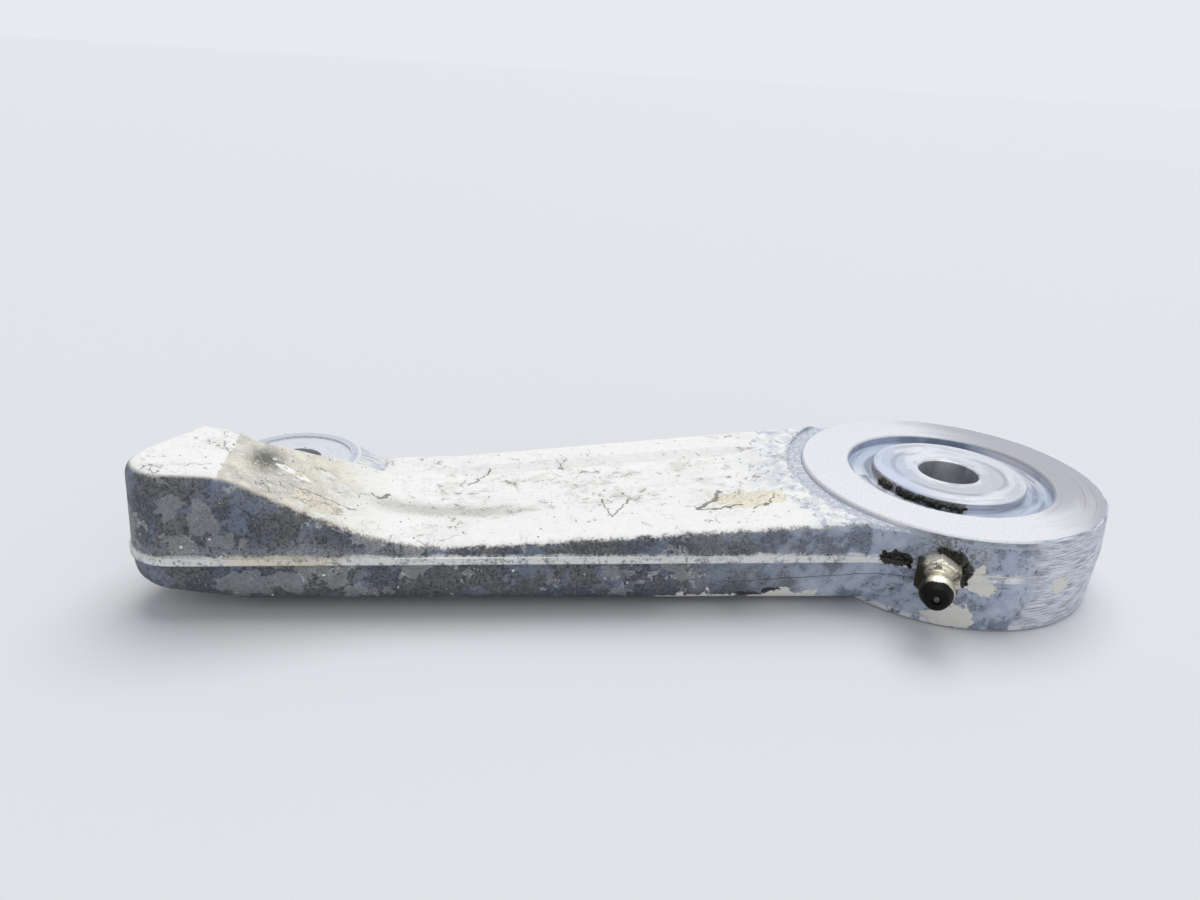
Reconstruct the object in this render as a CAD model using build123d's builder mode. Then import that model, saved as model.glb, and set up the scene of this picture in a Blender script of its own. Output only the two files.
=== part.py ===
"""Torque link: a forged aluminium arm with a single apex boss, flanged bushings and a grease fitting.

Frame: origin on the apex bore's axis at the forging's parting plane. +Z runs along the bore out of
the machined apex face, and the fork bore lies on -X. All lengths are millimetres.
"""
import os
from math import cos, radians, sin, sqrt, tan

from build123d import *

os.makedirs("parts", exist_ok=True)

inch = 25.4

# Apex boss
boss_face_dia = 2.5 * inch
boss_above = 8.0
boss_width = 20.0
boss_parting_grow = 0.65
boss_base_grow = 0.15
boss_edge_break = 0.3
boss_skin_inset = 0.4
boss_skin_reach = 12.7
boss_front_blend = 20.0
boss_back_blend = 25.0
counterbore_dia = 1.7 * inch
counterbore_depth = 1.8
counterbore_chamfer = 0.3
runout_width = 3.3
runout_drop = 1.0
runout_corner = 0.9

# Apex bushings
pin_dia = 0.5 * inch
sleeve_dia = 0.625 * inch
sleeve_length = 5.2
flange_dia = 32.4
flange_proud = 0.2
flange_break = 0.3
bushing_chamfer = 0.35

# Arm, in plan
arm_front_inset = 8.4
arm_front_slope = 0.116
arm_back_inset = 1.4
arm_back_slope = 0.212
arm_short_of_faces = 1.5
underside_rise = 0.01
draft_angle = 3.0
arm_bottom_round = 4.0
arm_front_round = 2.7
arm_back_round = 2.5

# Arm, in side profile: a long fall from the boss, a ramp and the flat of the fork block
saddle_start = 7.5
saddle_fall = 0.063
ramp_foot = 119.7
ramp_angle = 27.0
ramp_crown = 148.5
block_top_slope = 2.0
ramp_foot_radius = 60.0
ramp_crown_radius = 14.0
belly_rise_start = 146.0
belly_rise_angle = 9.0
belly_radius = 40.0

# Fork end
link_centres = 143.0
fork_bore_dia = 0.375 * inch
lug_radius = 13.4
lug_above = 3.6
lug_spotface_dia = 22.4
lug_spotface_depth = 0.5
lug_turning_clearance = 1.6
lug_skirt_angle = 20.0
lug_front_blend = 4.0
lug_back_blend = 8.0
block_reach = 25.3
block_corner_round = 9.0
block_end_on_lug = 7.1
block_back_line = 19.0
block_back_slope = 0.2
block_back_step = 1.5
finish_cut = 0.4
pocket_wall_angle = 37.0
pocket_past_lug = 4.0
pocket_mouth = 7.5
pocket_mouth_rise = 2.3
flange_reach = 43.5
flange_blend_length = 15.0
flange_rise = 3.0
flange_blend_angle = 25.0
wall_draft = 4.0

# Shallow channels along the arm
channel_from_boss = 14.25
channel_offset = 3.9
channel_floor_apex = 19.5
channel_floor_fork = 14.0
channel_front_wall = 7.5
channel_back_wall = 2.0
channel_depth = 1.5
channel_run_in = 14.0
channel_run_out = 26.0
channel_exit_angle = 33.0
channel_entry_radius = 18.0
channel_corner = 6.0
channel_under_taper = 40.0

# Trimmed flash along the parting plane
flash_height = 1.4
flash_proud = 0.35
flash_reach = 9.0

# Grease fitting
fitting_angle = 20.0
fitting_height = -0.2
fitting_seat_margin = 0.9
hex_across_flats = 0.3125 * inch
hex_length = 3.7
hex_chamfer_angle = 30.0
hex_face_margin = 0.15
shank_dia = 0.25 * inch
shank_length = 5.5
shank_point = 1.2
shank_clearance = 0.02
shoulder_dia = 6.8
neck_dia = 5.2
neck_start = 4.6
neck_end = 6.3
neck_round = 1.0
head_dia = 6.54
head_start = 7.4
head_end = 8.6
head_bevel = 0.35
tip_dia = 4.2
fitting_length = 11.5
tip_bevel = 0.4
tip_hole_dia = 1.7
tip_lip = 0.4
ball_dia = 2.38
ball_clearance = 0.09
seat_clearance = 0.02
spring_seat = 1.9
spring_seat_web = 0.5
spring_seat_hole_dia = 1.3
spring_wire_dia = 0.3
spring_turns = 4.0
wire_sides = 6
spring_wall_clearance = 0.1
spring_end_clearance = 0.03
passage_dia = 2.4

# Cutters and stock
overrun = 1.0
stock_above_crown = 4.0
facing_limit = 0.6

# Derived places
boss_radius = boss_face_dia / 2
parting_radius = boss_radius + boss_parting_grow
boss_below = boss_width - boss_above
arm_below = boss_below - arm_short_of_faces
arm_front_at_apex = arm_front_inset - parting_radius
arm_back_at_apex = parting_radius - arm_back_inset
arm_skew = (arm_front_slope + arm_back_slope) / 2
arm_mid_at_apex = (arm_front_at_apex + arm_back_at_apex) / 2
arm_along = Vector(-1, -arm_skew, 0).normalized()
arm_across = arm_along.cross(Vector(0, 0, 1))
lug_centre = (-link_centres, 0)
past_everything = 4 * boss_radius
arm_section = Plane(
    origin=tuple(arm_across * -past_everything),
    x_dir=tuple(arm_along),
    z_dir=tuple(arm_across),
)


def front_line(x):
    """The front edge of the arm at the parting plane."""
    return arm_front_at_apex + arm_front_slope * x


def back_line(x):
    """The back edge of the arm at the parting plane."""
    return arm_back_at_apex + arm_back_slope * x


def arm_middle(x):
    """The middle of the arm, between its two edges."""
    return (front_line(x) + back_line(x)) / 2


def saddle_z(along):
    """Height of the arm's long top face, at a distance along the arm from the apex bore."""
    return saddle_start - saddle_fall * (along - boss_radius)


def nearest(shapes, x, y, z=0.0):
    """The vertex or edge of a list that lies nearest to a point."""
    return shapes.sort_by_distance((x, y, z))[0]


# Plan of the whole forging at the parting plane
plan_start_x = -boss_radius / 4
block_corner_x = -link_centres - block_reach
block_corner_y = front_line(block_corner_x)
end_meets_lug_x = -link_centres - sqrt((lug_radius - overrun) ** 2 - block_end_on_lug**2)
arm_joins_lug_x = -link_centres + lug_radius

with BuildSketch() as link_plan:
    with BuildLine():
        Polyline(
            (plan_start_x, back_line(plan_start_x)),
            (-link_centres, back_line(-link_centres)),
            (end_meets_lug_x, -block_end_on_lug),
            (block_corner_x, block_corner_y),
            (plan_start_x, front_line(plan_start_x)),
            close=True,
        )
    make_face()
    with Locations(lug_centre):
        Circle(lug_radius)
    Circle(parting_radius - boss_skin_inset)
    fillet(nearest(link_plan.vertices(), block_corner_x, block_corner_y), block_corner_round)
    fillet(nearest(link_plan.vertices(), -link_centres - lug_radius, -lug_radius), lug_front_blend)
    fillet(nearest(link_plan.vertices(), arm_joins_lug_x, back_line(arm_joins_lug_x)), lug_back_blend)
    fillet(nearest(link_plan.vertices(), -boss_radius, front_line(-boss_radius)), boss_front_blend)
    fillet(nearest(link_plan.vertices(), -boss_radius, back_line(-boss_radius)), boss_back_blend)

# Heights along the side profile of the top
ramp_slope = tan(radians(ramp_angle))
ramp_foot_z = saddle_z(ramp_foot)
ramp_crown_z = ramp_foot_z + (ramp_crown - ramp_foot) * ramp_slope
stock_height = ramp_crown_z + stock_above_crown
block_end_z = ramp_crown_z + (past_everything - ramp_crown + link_centres) * tan(radians(block_top_slope))
runout_z = boss_above - runout_drop
boss_skin_z = runout_z - boss_skin_inset
saddle_back_z = saddle_z(boss_skin_reach)


def rim_edges(part, up):
    """The edges round a part's upward faces, or downward ones if up is -1, without the seams between them."""
    facing = part.faces().filter_by(lambda face: face.normal_at().Z * up > facing_limit)
    edges = facing.edges()
    return ShapeList(edge for edge in edges if sum(1 for other in edges if other == edge) == 1)


lug_clear_radius = lug_radius + lug_turning_clearance
wall_turn_x = -link_centres - block_back_step
block_past_x = wall_turn_x - 2 * block_reach
block_past_y = -block_back_line + block_back_slope * 2 * block_reach
mid_x = -link_centres / 2
mid_z = saddle_z(-mid_x)

# Room for the fork that turns on the lug: a round pocket in the ramp, opened along the arm's back edge
saddle_tilt = sqrt(1 + saddle_fall**2)
saddle_plane = Plane(
    origin=(0, 0, saddle_z(0)),
    x_dir=tuple(arm_along - Vector(0, 0, saddle_fall)),
    z_dir=tuple((arm_along * saddle_fall + Vector(0, 0, 1)) * (1 / saddle_tilt)),
)
skirt_slope = tan(radians(lug_skirt_angle))
pocket_angle = radians(pocket_wall_angle)
pocket_turn_x = -link_centres + lug_clear_radius * sin(pocket_angle) + pocket_past_lug * cos(pocket_angle)
pocket_turn_y = -lug_clear_radius * cos(pocket_angle) + pocket_past_lug * sin(pocket_angle)
pocket_end_x = pocket_turn_x + pocket_mouth
pocket_end_y = pocket_turn_y + pocket_mouth_rise
flange_end_x = -link_centres + flange_reach

with BuildPart() as lug_clear:
    with BuildSketch():
        with BuildLine():
            Polyline(
                (block_past_x, block_past_y),
                (wall_turn_x, -block_back_line),
                (pocket_turn_x, pocket_turn_y),
                (pocket_end_x, pocket_end_y),
                (pocket_end_x, boss_radius),
                (block_past_x, boss_radius),
                close=True,
            )
        make_face()
    extrude(amount=stock_height, taper=-wall_draft)
    with BuildSketch():
        with BuildLine():
            Polyline(
                lug_centre,
                (pocket_end_x - overrun, pocket_end_y + overrun),
                (flange_end_x - flange_blend_length, pocket_end_y + pocket_mouth_rise),
                (flange_end_x, flange_rise),
                (flange_end_x, boss_radius),
                (-link_centres, boss_radius),
                close=True,
            )
        make_face()
    extrude(amount=stock_height, taper=-flange_blend_angle)
    split(bisect_by=saddle_plane, keep=Keep.TOP)
    with BuildSketch(Plane.XZ):
        with BuildLine():
            Polyline(
                (-link_centres, -overrun),
                (-link_centres + lug_radius + (lug_above + overrun) / skirt_slope, -overrun),
                (-link_centres + lug_radius, lug_above),
                (-link_centres, lug_above),
                close=True,
            )
        make_face()
    revolve(axis=Axis(origin=(-link_centres, 0, 0), direction=(0, 0, 1)), mode=Mode.SUBTRACT)

# Upper half of the arm and the fork block, cut to the side profile
with BuildPart() as arm_upper:
    with BuildSketch():
        add(link_plan.sketch)
    extrude(amount=stock_height, taper=draft_angle)
    with BuildSketch(arm_section) as arm_side:
        with BuildLine():
            Polyline(
                (-past_everything, -overrun),
                (link_centres + past_everything, -overrun),
                (link_centres + past_everything, block_end_z),
                (ramp_crown, ramp_crown_z),
                (ramp_foot, ramp_foot_z),
                (boss_skin_reach, saddle_back_z),
                (boss_skin_reach, boss_skin_z),
                (-past_everything, boss_skin_z),
                close=True,
            )
        make_face()
        fillet(nearest(arm_side.vertices(), ramp_foot, ramp_foot_z), ramp_foot_radius)
        fillet(nearest(arm_side.vertices(), ramp_crown, ramp_crown_z), ramp_crown_radius)
    extrude(amount=2 * past_everything, mode=Mode.INTERSECT)
    with BuildSketch(Plane.XY.offset(lug_above)) as end_clear:
        with BuildLine():
            Polyline(
                (block_past_x, block_past_y + finish_cut),
                (wall_turn_x, -block_back_line + finish_cut),
                lug_centre,
                (-link_centres, boss_radius),
                (block_past_x, boss_radius),
                close=True,
            )
        make_face()
    extrude(amount=stock_height, taper=-wall_draft, mode=Mode.SUBTRACT)
    fillet(nearest(rim_edges(arm_upper, 1), mid_x, front_line(mid_x), mid_z), arm_front_round)
    fillet(nearest(rim_edges(arm_upper, 1), mid_x, back_line(mid_x), mid_z), arm_back_round)
    add(lug_clear.part, mode=Mode.SUBTRACT)

# Lower half of the arm, whose underside rises a little towards the fork block
belly_z = -arm_below + underside_rise * (belly_rise_start - boss_radius)
belly_end = belly_rise_start + past_everything
belly_end_z = belly_z + past_everything * tan(radians(belly_rise_angle))

with BuildPart() as arm_lower:
    with BuildSketch():
        add(link_plan.sketch)
    extrude(amount=-arm_below, taper=draft_angle)
    with BuildSketch(arm_section) as belly:
        with BuildLine():
            Polyline(
                (-past_everything, -arm_below),
                (boss_radius, -arm_below),
                (belly_rise_start, belly_z),
                (belly_end, belly_end_z),
                (belly_end, past_everything),
                (-past_everything, past_everything),
                close=True,
            )
        make_face()
        fillet(nearest(belly.vertices(), belly_rise_start, belly_z), belly_radius)
    extrude(amount=2 * past_everything, mode=Mode.INTERSECT)
    fillet(rim_edges(arm_lower, -1), arm_bottom_round)

# Trimmed flash that stands proud all round the parting plane, up to the ground side of the boss
with BuildPart() as flash:
    with BuildSketch(Plane.XY.offset(-flash_height / 2)):
        add(link_plan.sketch)
        Circle(parting_radius)
        offset(amount=flash_proud)
        with Locations((flash_reach, 0)):
            Rectangle(past_everything, past_everything, align=(Align.MIN, Align.CENTER), mode=Mode.SUBTRACT)
    extrude(amount=flash_height)

# Boss, with its two machined faces and a slight swell to the parting plane
with BuildPart() as boss:
    with BuildSketch(Plane.XZ) as boss_section:
        with BuildLine():
            Polyline(
                (0, -boss_below),
                (boss_radius + boss_base_grow - boss_edge_break, -boss_below),
                (boss_radius + boss_base_grow, -boss_below + boss_edge_break),
                (parting_radius, 0),
                (boss_radius, boss_above - boss_edge_break),
                (boss_radius - boss_edge_break, boss_above),
                (0, boss_above),
                close=True,
            )
        make_face()
    revolve(axis=Axis.Z)

# Pad under the lug, level with the underside of the boss
with BuildPart() as lug_pad:
    with BuildSketch(Plane.XY.offset(-boss_below)):
        with Locations(lug_centre):
            Circle(lug_spotface_dia / 2)
    extrude(amount=boss_below / 2)

# Shallow channel that follows the top of the arm
channel_start = boss_radius + channel_from_boss
channel_across = (arm_mid_at_apex + channel_offset) * arm_across.Y
channel_plane = Plane(
    origin=tuple(arm_across * channel_across),
    x_dir=tuple(arm_along),
    z_dir=tuple(arm_across),
)
channel_exit_rise = channel_run_out * tan(radians(channel_exit_angle))

with BuildPart() as top_channel:
    with BuildLine(channel_plane) as channel_path:
        FilletPolyline(
            (channel_start - channel_run_in, saddle_z(channel_start - channel_run_in) + channel_depth),
            (channel_start, saddle_z(channel_start) - channel_depth),
            (ramp_foot, saddle_z(ramp_foot) - channel_depth),
            (ramp_foot + channel_run_out, saddle_z(ramp_foot) - channel_depth + channel_exit_rise),
            radius=[channel_entry_radius, ramp_foot_radius],
        )
    for place, floor in ((0, channel_floor_apex), (1, channel_floor_fork)):
        heading = tuple(channel_path.line % place)
        section = Plane(origin=channel_path.line @ place, x_dir=tuple(arm_across), z_dir=heading)
        with BuildSketch(section):
            with BuildLine():
                Polyline(
                    (-floor / 2, 0),
                    (-floor / 2 - 2 * channel_front_wall, -2 * channel_depth),
                    (floor / 2 + 2 * channel_back_wall, -2 * channel_depth),
                    (floor / 2, 0),
                    close=True,
                )
            make_face()
    sweep(path=channel_path.line, multisection=True)

# Plain straight channel underneath
under_plane = Plane(
    origin=(0, 0, -arm_below - channel_depth),
    x_dir=tuple(-arm_along),
    z_dir=(0, 0, 1),
)

with BuildPart() as bottom_channel:
    with BuildSketch(under_plane):
        with Locations((-(channel_start + ramp_foot) / 2, channel_across)):
            RectangleRounded(ramp_foot - channel_start, channel_floor_apex, channel_corner)
    extrude(amount=2 * channel_depth, taper=channel_under_taper)

# Directions and places along the grease fitting
fitting_out = (-sin(radians(fitting_angle)), -cos(radians(fitting_angle)), 0)
fitting_across = (cos(radians(fitting_angle)), -sin(radians(fitting_angle)), 0)
fitting_axis = Axis(origin=(0, 0, fitting_height), direction=fitting_out)
fitting_section = Plane(
    origin=(0, 0, fitting_height),
    x_dir=fitting_out,
    z_dir=tuple(-Vector(fitting_across)),
)
hex_corner_radius = hex_across_flats / sqrt(3)
fitting_seat_radius = hex_corner_radius + fitting_seat_margin
seat_place = sqrt(parting_radius**2 - fitting_seat_radius**2)
shank_radius = shank_dia / 2
counterbore_radius = counterbore_dia / 2
flange_radius = flange_dia / 2
sleeve_radius = sleeve_dia / 2
sleeve_gap_top = boss_above - counterbore_depth - sleeve_length

# Whole forging, then everything machined into it
with BuildPart() as link_forging:
    add(arm_upper.part)
    add(arm_lower.part)
    add(flash.part)
    add(lug_pad.part)
    add(top_channel.part, mode=Mode.SUBTRACT)
    add(bottom_channel.part, mode=Mode.SUBTRACT)
    # Facing cut over the boss, which leaves a ring round it
    with BuildSketch(Plane.XZ) as runout:
        with Locations((0, runout_z)):
            Rectangle(boss_radius + runout_width, past_everything, align=(Align.MIN, Align.MIN))
        fillet(nearest(runout.vertices(), boss_radius + runout_width, runout_z), runout_corner)
    revolve(axis=Axis.Z, mode=Mode.SUBTRACT)
    add(boss.part)
    # Counterbores and the bore that takes the bushings
    with BuildSketch(Plane.XZ):
        with BuildLine():
            Polyline(
                (0, -boss_below - overrun),
                (counterbore_radius + counterbore_chamfer + overrun, -boss_below - overrun),
                (counterbore_radius, -boss_below + counterbore_chamfer),
                (counterbore_radius, -boss_below + counterbore_depth),
                (sleeve_radius, -boss_below + counterbore_depth),
                (sleeve_radius, boss_above - counterbore_depth),
                (counterbore_radius, boss_above - counterbore_depth),
                (counterbore_radius, boss_above - counterbore_chamfer),
                (counterbore_radius + counterbore_chamfer + overrun, boss_above + overrun),
                (0, boss_above + overrun),
                close=True,
            )
        make_face()
    revolve(axis=Axis.Z, mode=Mode.SUBTRACT)
    # Fork bore and its two spot faces
    with BuildSketch(Plane.XY.offset(lug_above - lug_spotface_depth)):
        with Locations(lug_centre):
            Circle(lug_spotface_dia / 2)
    extrude(amount=lug_spotface_depth * 2, mode=Mode.SUBTRACT)
    with BuildSketch(Plane.XY.offset(-boss_below - overrun)):
        with Locations(lug_centre):
            Circle(fork_bore_dia / 2)
    extrude(amount=boss_width + lug_above, mode=Mode.SUBTRACT)
    # Seat, threaded hole and grease passage for the fitting
    with BuildSketch(fitting_section):
        with BuildLine():
            Polyline(
                (sleeve_radius - overrun, 0),
                (sleeve_radius - overrun, passage_dia / 2),
                (seat_place - shank_length - shank_point, passage_dia / 2),
                (seat_place - shank_length, shank_radius),
                (seat_place, shank_radius),
                (seat_place, fitting_seat_radius),
                (parting_radius + flash_proud + overrun, fitting_seat_radius),
                (parting_radius + flash_proud + overrun, 0),
                close=True,
            )
        make_face()
    revolve(axis=fitting_axis, mode=Mode.SUBTRACT)

# Flanged bushing pressed into the boss from above
with BuildPart() as upper_bushing:
    with BuildSketch(Plane.XZ):
        with BuildLine():
            Polyline(
                (pin_dia / 2, boss_above + flange_proud - bushing_chamfer),
                (pin_dia / 2 + bushing_chamfer, boss_above + flange_proud),
                (flange_radius - flange_break, boss_above + flange_proud),
                (flange_radius, boss_above + flange_proud - flange_break),
                (flange_radius, boss_above - counterbore_depth),
                (sleeve_radius, boss_above - counterbore_depth),
                (sleeve_radius, sleeve_gap_top + bushing_chamfer),
                (sleeve_radius - bushing_chamfer, sleeve_gap_top),
                (pin_dia / 2, sleeve_gap_top),
                close=True,
            )
        make_face()
    revolve(axis=Axis.Z)

# The same bushing turned over and pressed in from below
with BuildPart() as lower_bushing:
    add(upper_bushing.part.mirror(Plane.XY.offset((boss_above - boss_below) / 2)))

# Body of the grease fitting
tip_place = seat_place + fitting_length
ball_radius = ball_dia / 2
ball_cavity_radius = ball_radius + ball_clearance
ball_place = tip_place - tip_lip - sqrt(ball_radius**2 - (tip_hole_dia / 2) ** 2) - seat_clearance
spring_floor = seat_place + spring_seat

shank_foot = seat_place - shank_length
hex_end = seat_place + hex_length
hex_corner_height = hex_corner_radius - hex_across_flats / 2 + hex_face_margin
hex_chamfer_depth = hex_corner_height * tan(radians(hex_chamfer_angle))
fitting_seat_plane = Plane(
    origin=(seat_place * fitting_out[0], seat_place * fitting_out[1], fitting_height),
    x_dir=(0, 0, 1),
    z_dir=fitting_out,
)

with BuildPart() as grease_fitting:
    with BuildSketch(fitting_seat_plane):
        RegularPolygon(radius=hex_across_flats / 2, side_count=6, major_radius=False)
    extrude(amount=hex_length)
    with BuildSketch(fitting_section):
        with BuildLine():
            Polyline(
                (seat_place, 0),
                (seat_place, hex_corner_radius + hex_face_margin),
                (hex_end - hex_chamfer_depth, hex_corner_radius),
                (hex_end, hex_across_flats / 2 - hex_face_margin),
                (hex_end, 0),
                close=True,
            )
        make_face()
    revolve(axis=fitting_axis, mode=Mode.INTERSECT)
    with BuildSketch(fitting_section) as fitting_outline:
        with BuildLine():
            Polyline(
                (shank_foot, 0),
                (shank_foot, shank_radius - shank_clearance),
                (hex_end - hex_face_margin, shank_radius - shank_clearance),
                (hex_end - hex_face_margin, shoulder_dia / 2),
                (seat_place + neck_start, neck_dia / 2),
                (seat_place + neck_end, neck_dia / 2),
                (seat_place + head_start, head_dia / 2),
                (seat_place + head_end, head_dia / 2),
                (tip_place, tip_dia / 2),
                (tip_place, 0),
                close=True,
            )
        make_face()
        fillet(nearest(fitting_outline.vertices(), seat_place + neck_start, neck_dia / 2), neck_round)
        fillet(nearest(fitting_outline.vertices(), seat_place + neck_end, neck_dia / 2), neck_round)
        chamfer(nearest(fitting_outline.vertices(), seat_place + head_start, head_dia / 2), head_bevel)
        chamfer(nearest(fitting_outline.vertices(), seat_place + head_end, head_dia / 2), head_bevel)
        chamfer(nearest(fitting_outline.vertices(), tip_place, tip_dia / 2), tip_bevel)
    revolve(axis=fitting_axis)
    with BuildSketch(fitting_section):
        with BuildLine():
            Polyline(
                (shank_foot - overrun, 0),
                (shank_foot - overrun, passage_dia / 2),
                (spring_floor - spring_seat_web, passage_dia / 2),
                (spring_floor - spring_seat_web, spring_seat_hole_dia / 2),
                (spring_floor, spring_seat_hole_dia / 2),
                (spring_floor, ball_cavity_radius),
                (tip_place - tip_lip, ball_cavity_radius),
                (tip_place - tip_lip, tip_hole_dia / 2),
                (tip_place + overrun, tip_hole_dia / 2),
                (tip_place + overrun, 0),
                close=True,
            )
        make_face()
    revolve(axis=fitting_axis, mode=Mode.SUBTRACT)

# Check ball that closes the fitting's tip
with BuildPart() as check_ball:
    with Locations((ball_place * fitting_out[0], ball_place * fitting_out[1], fitting_height)):
        Sphere(ball_radius)

# Spring behind the ball
spring_wire_radius = spring_wire_dia / 2
spring_mean_radius = ball_cavity_radius - spring_wall_clearance - spring_wire_radius
spring_to_ball = sqrt((ball_radius + spring_wire_radius + spring_end_clearance) ** 2 - spring_mean_radius**2)
spring_foot = spring_floor + spring_wire_radius + spring_end_clearance
spring_height = ball_place - spring_to_ball - spring_foot

with BuildPart() as ball_spring:
    with BuildLine() as spring_path:
        Helix(
            pitch=spring_height / spring_turns,
            height=spring_height,
            radius=spring_mean_radius,
            center=(spring_foot * fitting_out[0], spring_foot * fitting_out[1], fitting_height),
            direction=fitting_out,
        )
    with BuildSketch(Plane(origin=spring_path.line @ 0, z_dir=tuple(spring_path.line % 0))):
        RegularPolygon(radius=spring_wire_radius, side_count=wire_sides)
    sweep(path=spring_path.line, is_frenet=True)

link_forging.part.label = "link_forging"
upper_bushing.part.label = "upper_bushing"
lower_bushing.part.label = "lower_bushing"
grease_fitting.part.label = "grease_fitting"
check_ball.part.label = "check_ball"
ball_spring.part.label = "ball_spring"

export_step(link_forging.part, "parts/link_forging.step")
export_step(upper_bushing.part, "parts/upper_bushing.step")
export_step(lower_bushing.part, "parts/lower_bushing.step")
export_step(grease_fitting.part, "parts/grease_fitting.step")
export_step(check_ball.part, "parts/check_ball.step")
export_step(ball_spring.part, "parts/ball_spring.step")
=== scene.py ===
"""Dresses the torque link: worn white paint, grimy forged sides, turned faces and a greasy fitting.

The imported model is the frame. Lengths are millimetres, in the materials too, where they come from
Object coordinates. Every Blender mesh is in metres.
"""
from __future__ import annotations

import logging
from dataclasses import dataclass, field
from enum import Enum
from math import atan2, cos, pi, radians, sin
from typing import Optional, Union

import bpy
import bmesh
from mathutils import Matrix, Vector

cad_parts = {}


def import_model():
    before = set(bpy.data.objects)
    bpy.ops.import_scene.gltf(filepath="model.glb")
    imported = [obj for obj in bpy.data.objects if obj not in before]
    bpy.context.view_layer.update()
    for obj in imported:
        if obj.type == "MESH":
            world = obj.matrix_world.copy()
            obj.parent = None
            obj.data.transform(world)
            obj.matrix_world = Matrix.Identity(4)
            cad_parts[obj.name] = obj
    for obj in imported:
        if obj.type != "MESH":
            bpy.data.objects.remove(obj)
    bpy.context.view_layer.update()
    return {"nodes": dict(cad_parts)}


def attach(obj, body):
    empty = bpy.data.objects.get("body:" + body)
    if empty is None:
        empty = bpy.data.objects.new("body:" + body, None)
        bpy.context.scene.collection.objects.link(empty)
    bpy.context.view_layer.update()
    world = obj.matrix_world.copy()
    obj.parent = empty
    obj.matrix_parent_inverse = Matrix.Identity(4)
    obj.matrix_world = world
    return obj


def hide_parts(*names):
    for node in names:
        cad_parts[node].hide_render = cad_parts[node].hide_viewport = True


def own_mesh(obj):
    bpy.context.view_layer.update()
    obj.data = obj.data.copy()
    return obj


log = logging.getLogger("torque_link")

MM = 0.001
NOISE_MIDDLE = 0.5
Pair = tuple[float, float]
Triple = tuple[float, float, float]
Socket = bpy.types.NodeSocket
Material = bpy.types.Material
Mesh = bpy.types.Mesh
Object = bpy.types.Object
Packed = dict[str, Object]


class Place(Enum):
    """The output of the coordinate node that a texture follows."""

    OBJECT = "Object"
    NORMAL = "Normal"


class Nodes:
    """A node tree, with a single method that makes every node in it."""

    def __init__(self, tree: bpy.types.NodeTree) -> None:
        """Takes the tree that the nodes go into."""
        self.tree = tree

    def node(self, kind: str, inputs: Optional[dict] = None, **settings: object) -> bpy.types.Node:
        """Makes a node, sets its options and fills its inputs.

        Args:
            kind: The node's type name.
            inputs: Input names or numbers, each with a socket, a Scalar or a plain value.
            **settings: Attributes of the node itself.

        Returns:
            The new node.
        """
        made = self.tree.nodes.new(kind)
        for key, value in settings.items():
            setattr(made, key, value)
        for key, value in (inputs or {}).items():
            source = value.socket if isinstance(value, Scalar) else value
            if isinstance(source, Socket):
                self.tree.links.new(source, made.inputs[key])
            elif isinstance(source, tuple) and made.inputs[key].type == "RGBA":
                made.inputs[key].default_value = (*source, 1.0)
            else:
                made.inputs[key].default_value = source
        return made

    def out(self, kind: str, inputs: Optional[dict] = None, key: Union[int, str] = 0,
            **settings: object) -> Socket:
        """Makes a node in the same way and gives the output that the key names."""
        return self.node(kind, inputs, **settings).outputs[key]

    def vector(self, operation: str, *values: Union[Triple, Socket],
               scale: Optional[Number] = None) -> Socket:
        """One Vector Math node.

        Args:
            operation: What it works out.
            *values: Its vectors.
            scale: Its scale, if it takes one.

        Returns:
            The vector that comes out, or the number where a number does.
        """
        inputs = dict(enumerate(values))
        if scale is not None:
            inputs["Scale"] = scale
        key = "Value" if operation in ("LENGTH", "DISTANCE", "DOT_PRODUCT") else "Vector"
        return self.out("ShaderNodeVectorMath", inputs, key, operation=operation)

    def push(self, inputs: dict, reach: float) -> Socket:
        """A random move that follows a noise.

        Args:
            inputs: The inputs of the noise.
            reach: How far apart the ends of the move lie.

        Returns:
            The move.
        """
        colour = self.out("ShaderNodeTexNoise", inputs, "Color")
        return self.vector("SCALE", self.vector("SUBTRACT", colour, (NOISE_MIDDLE,) * 3), scale=reach)


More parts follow.
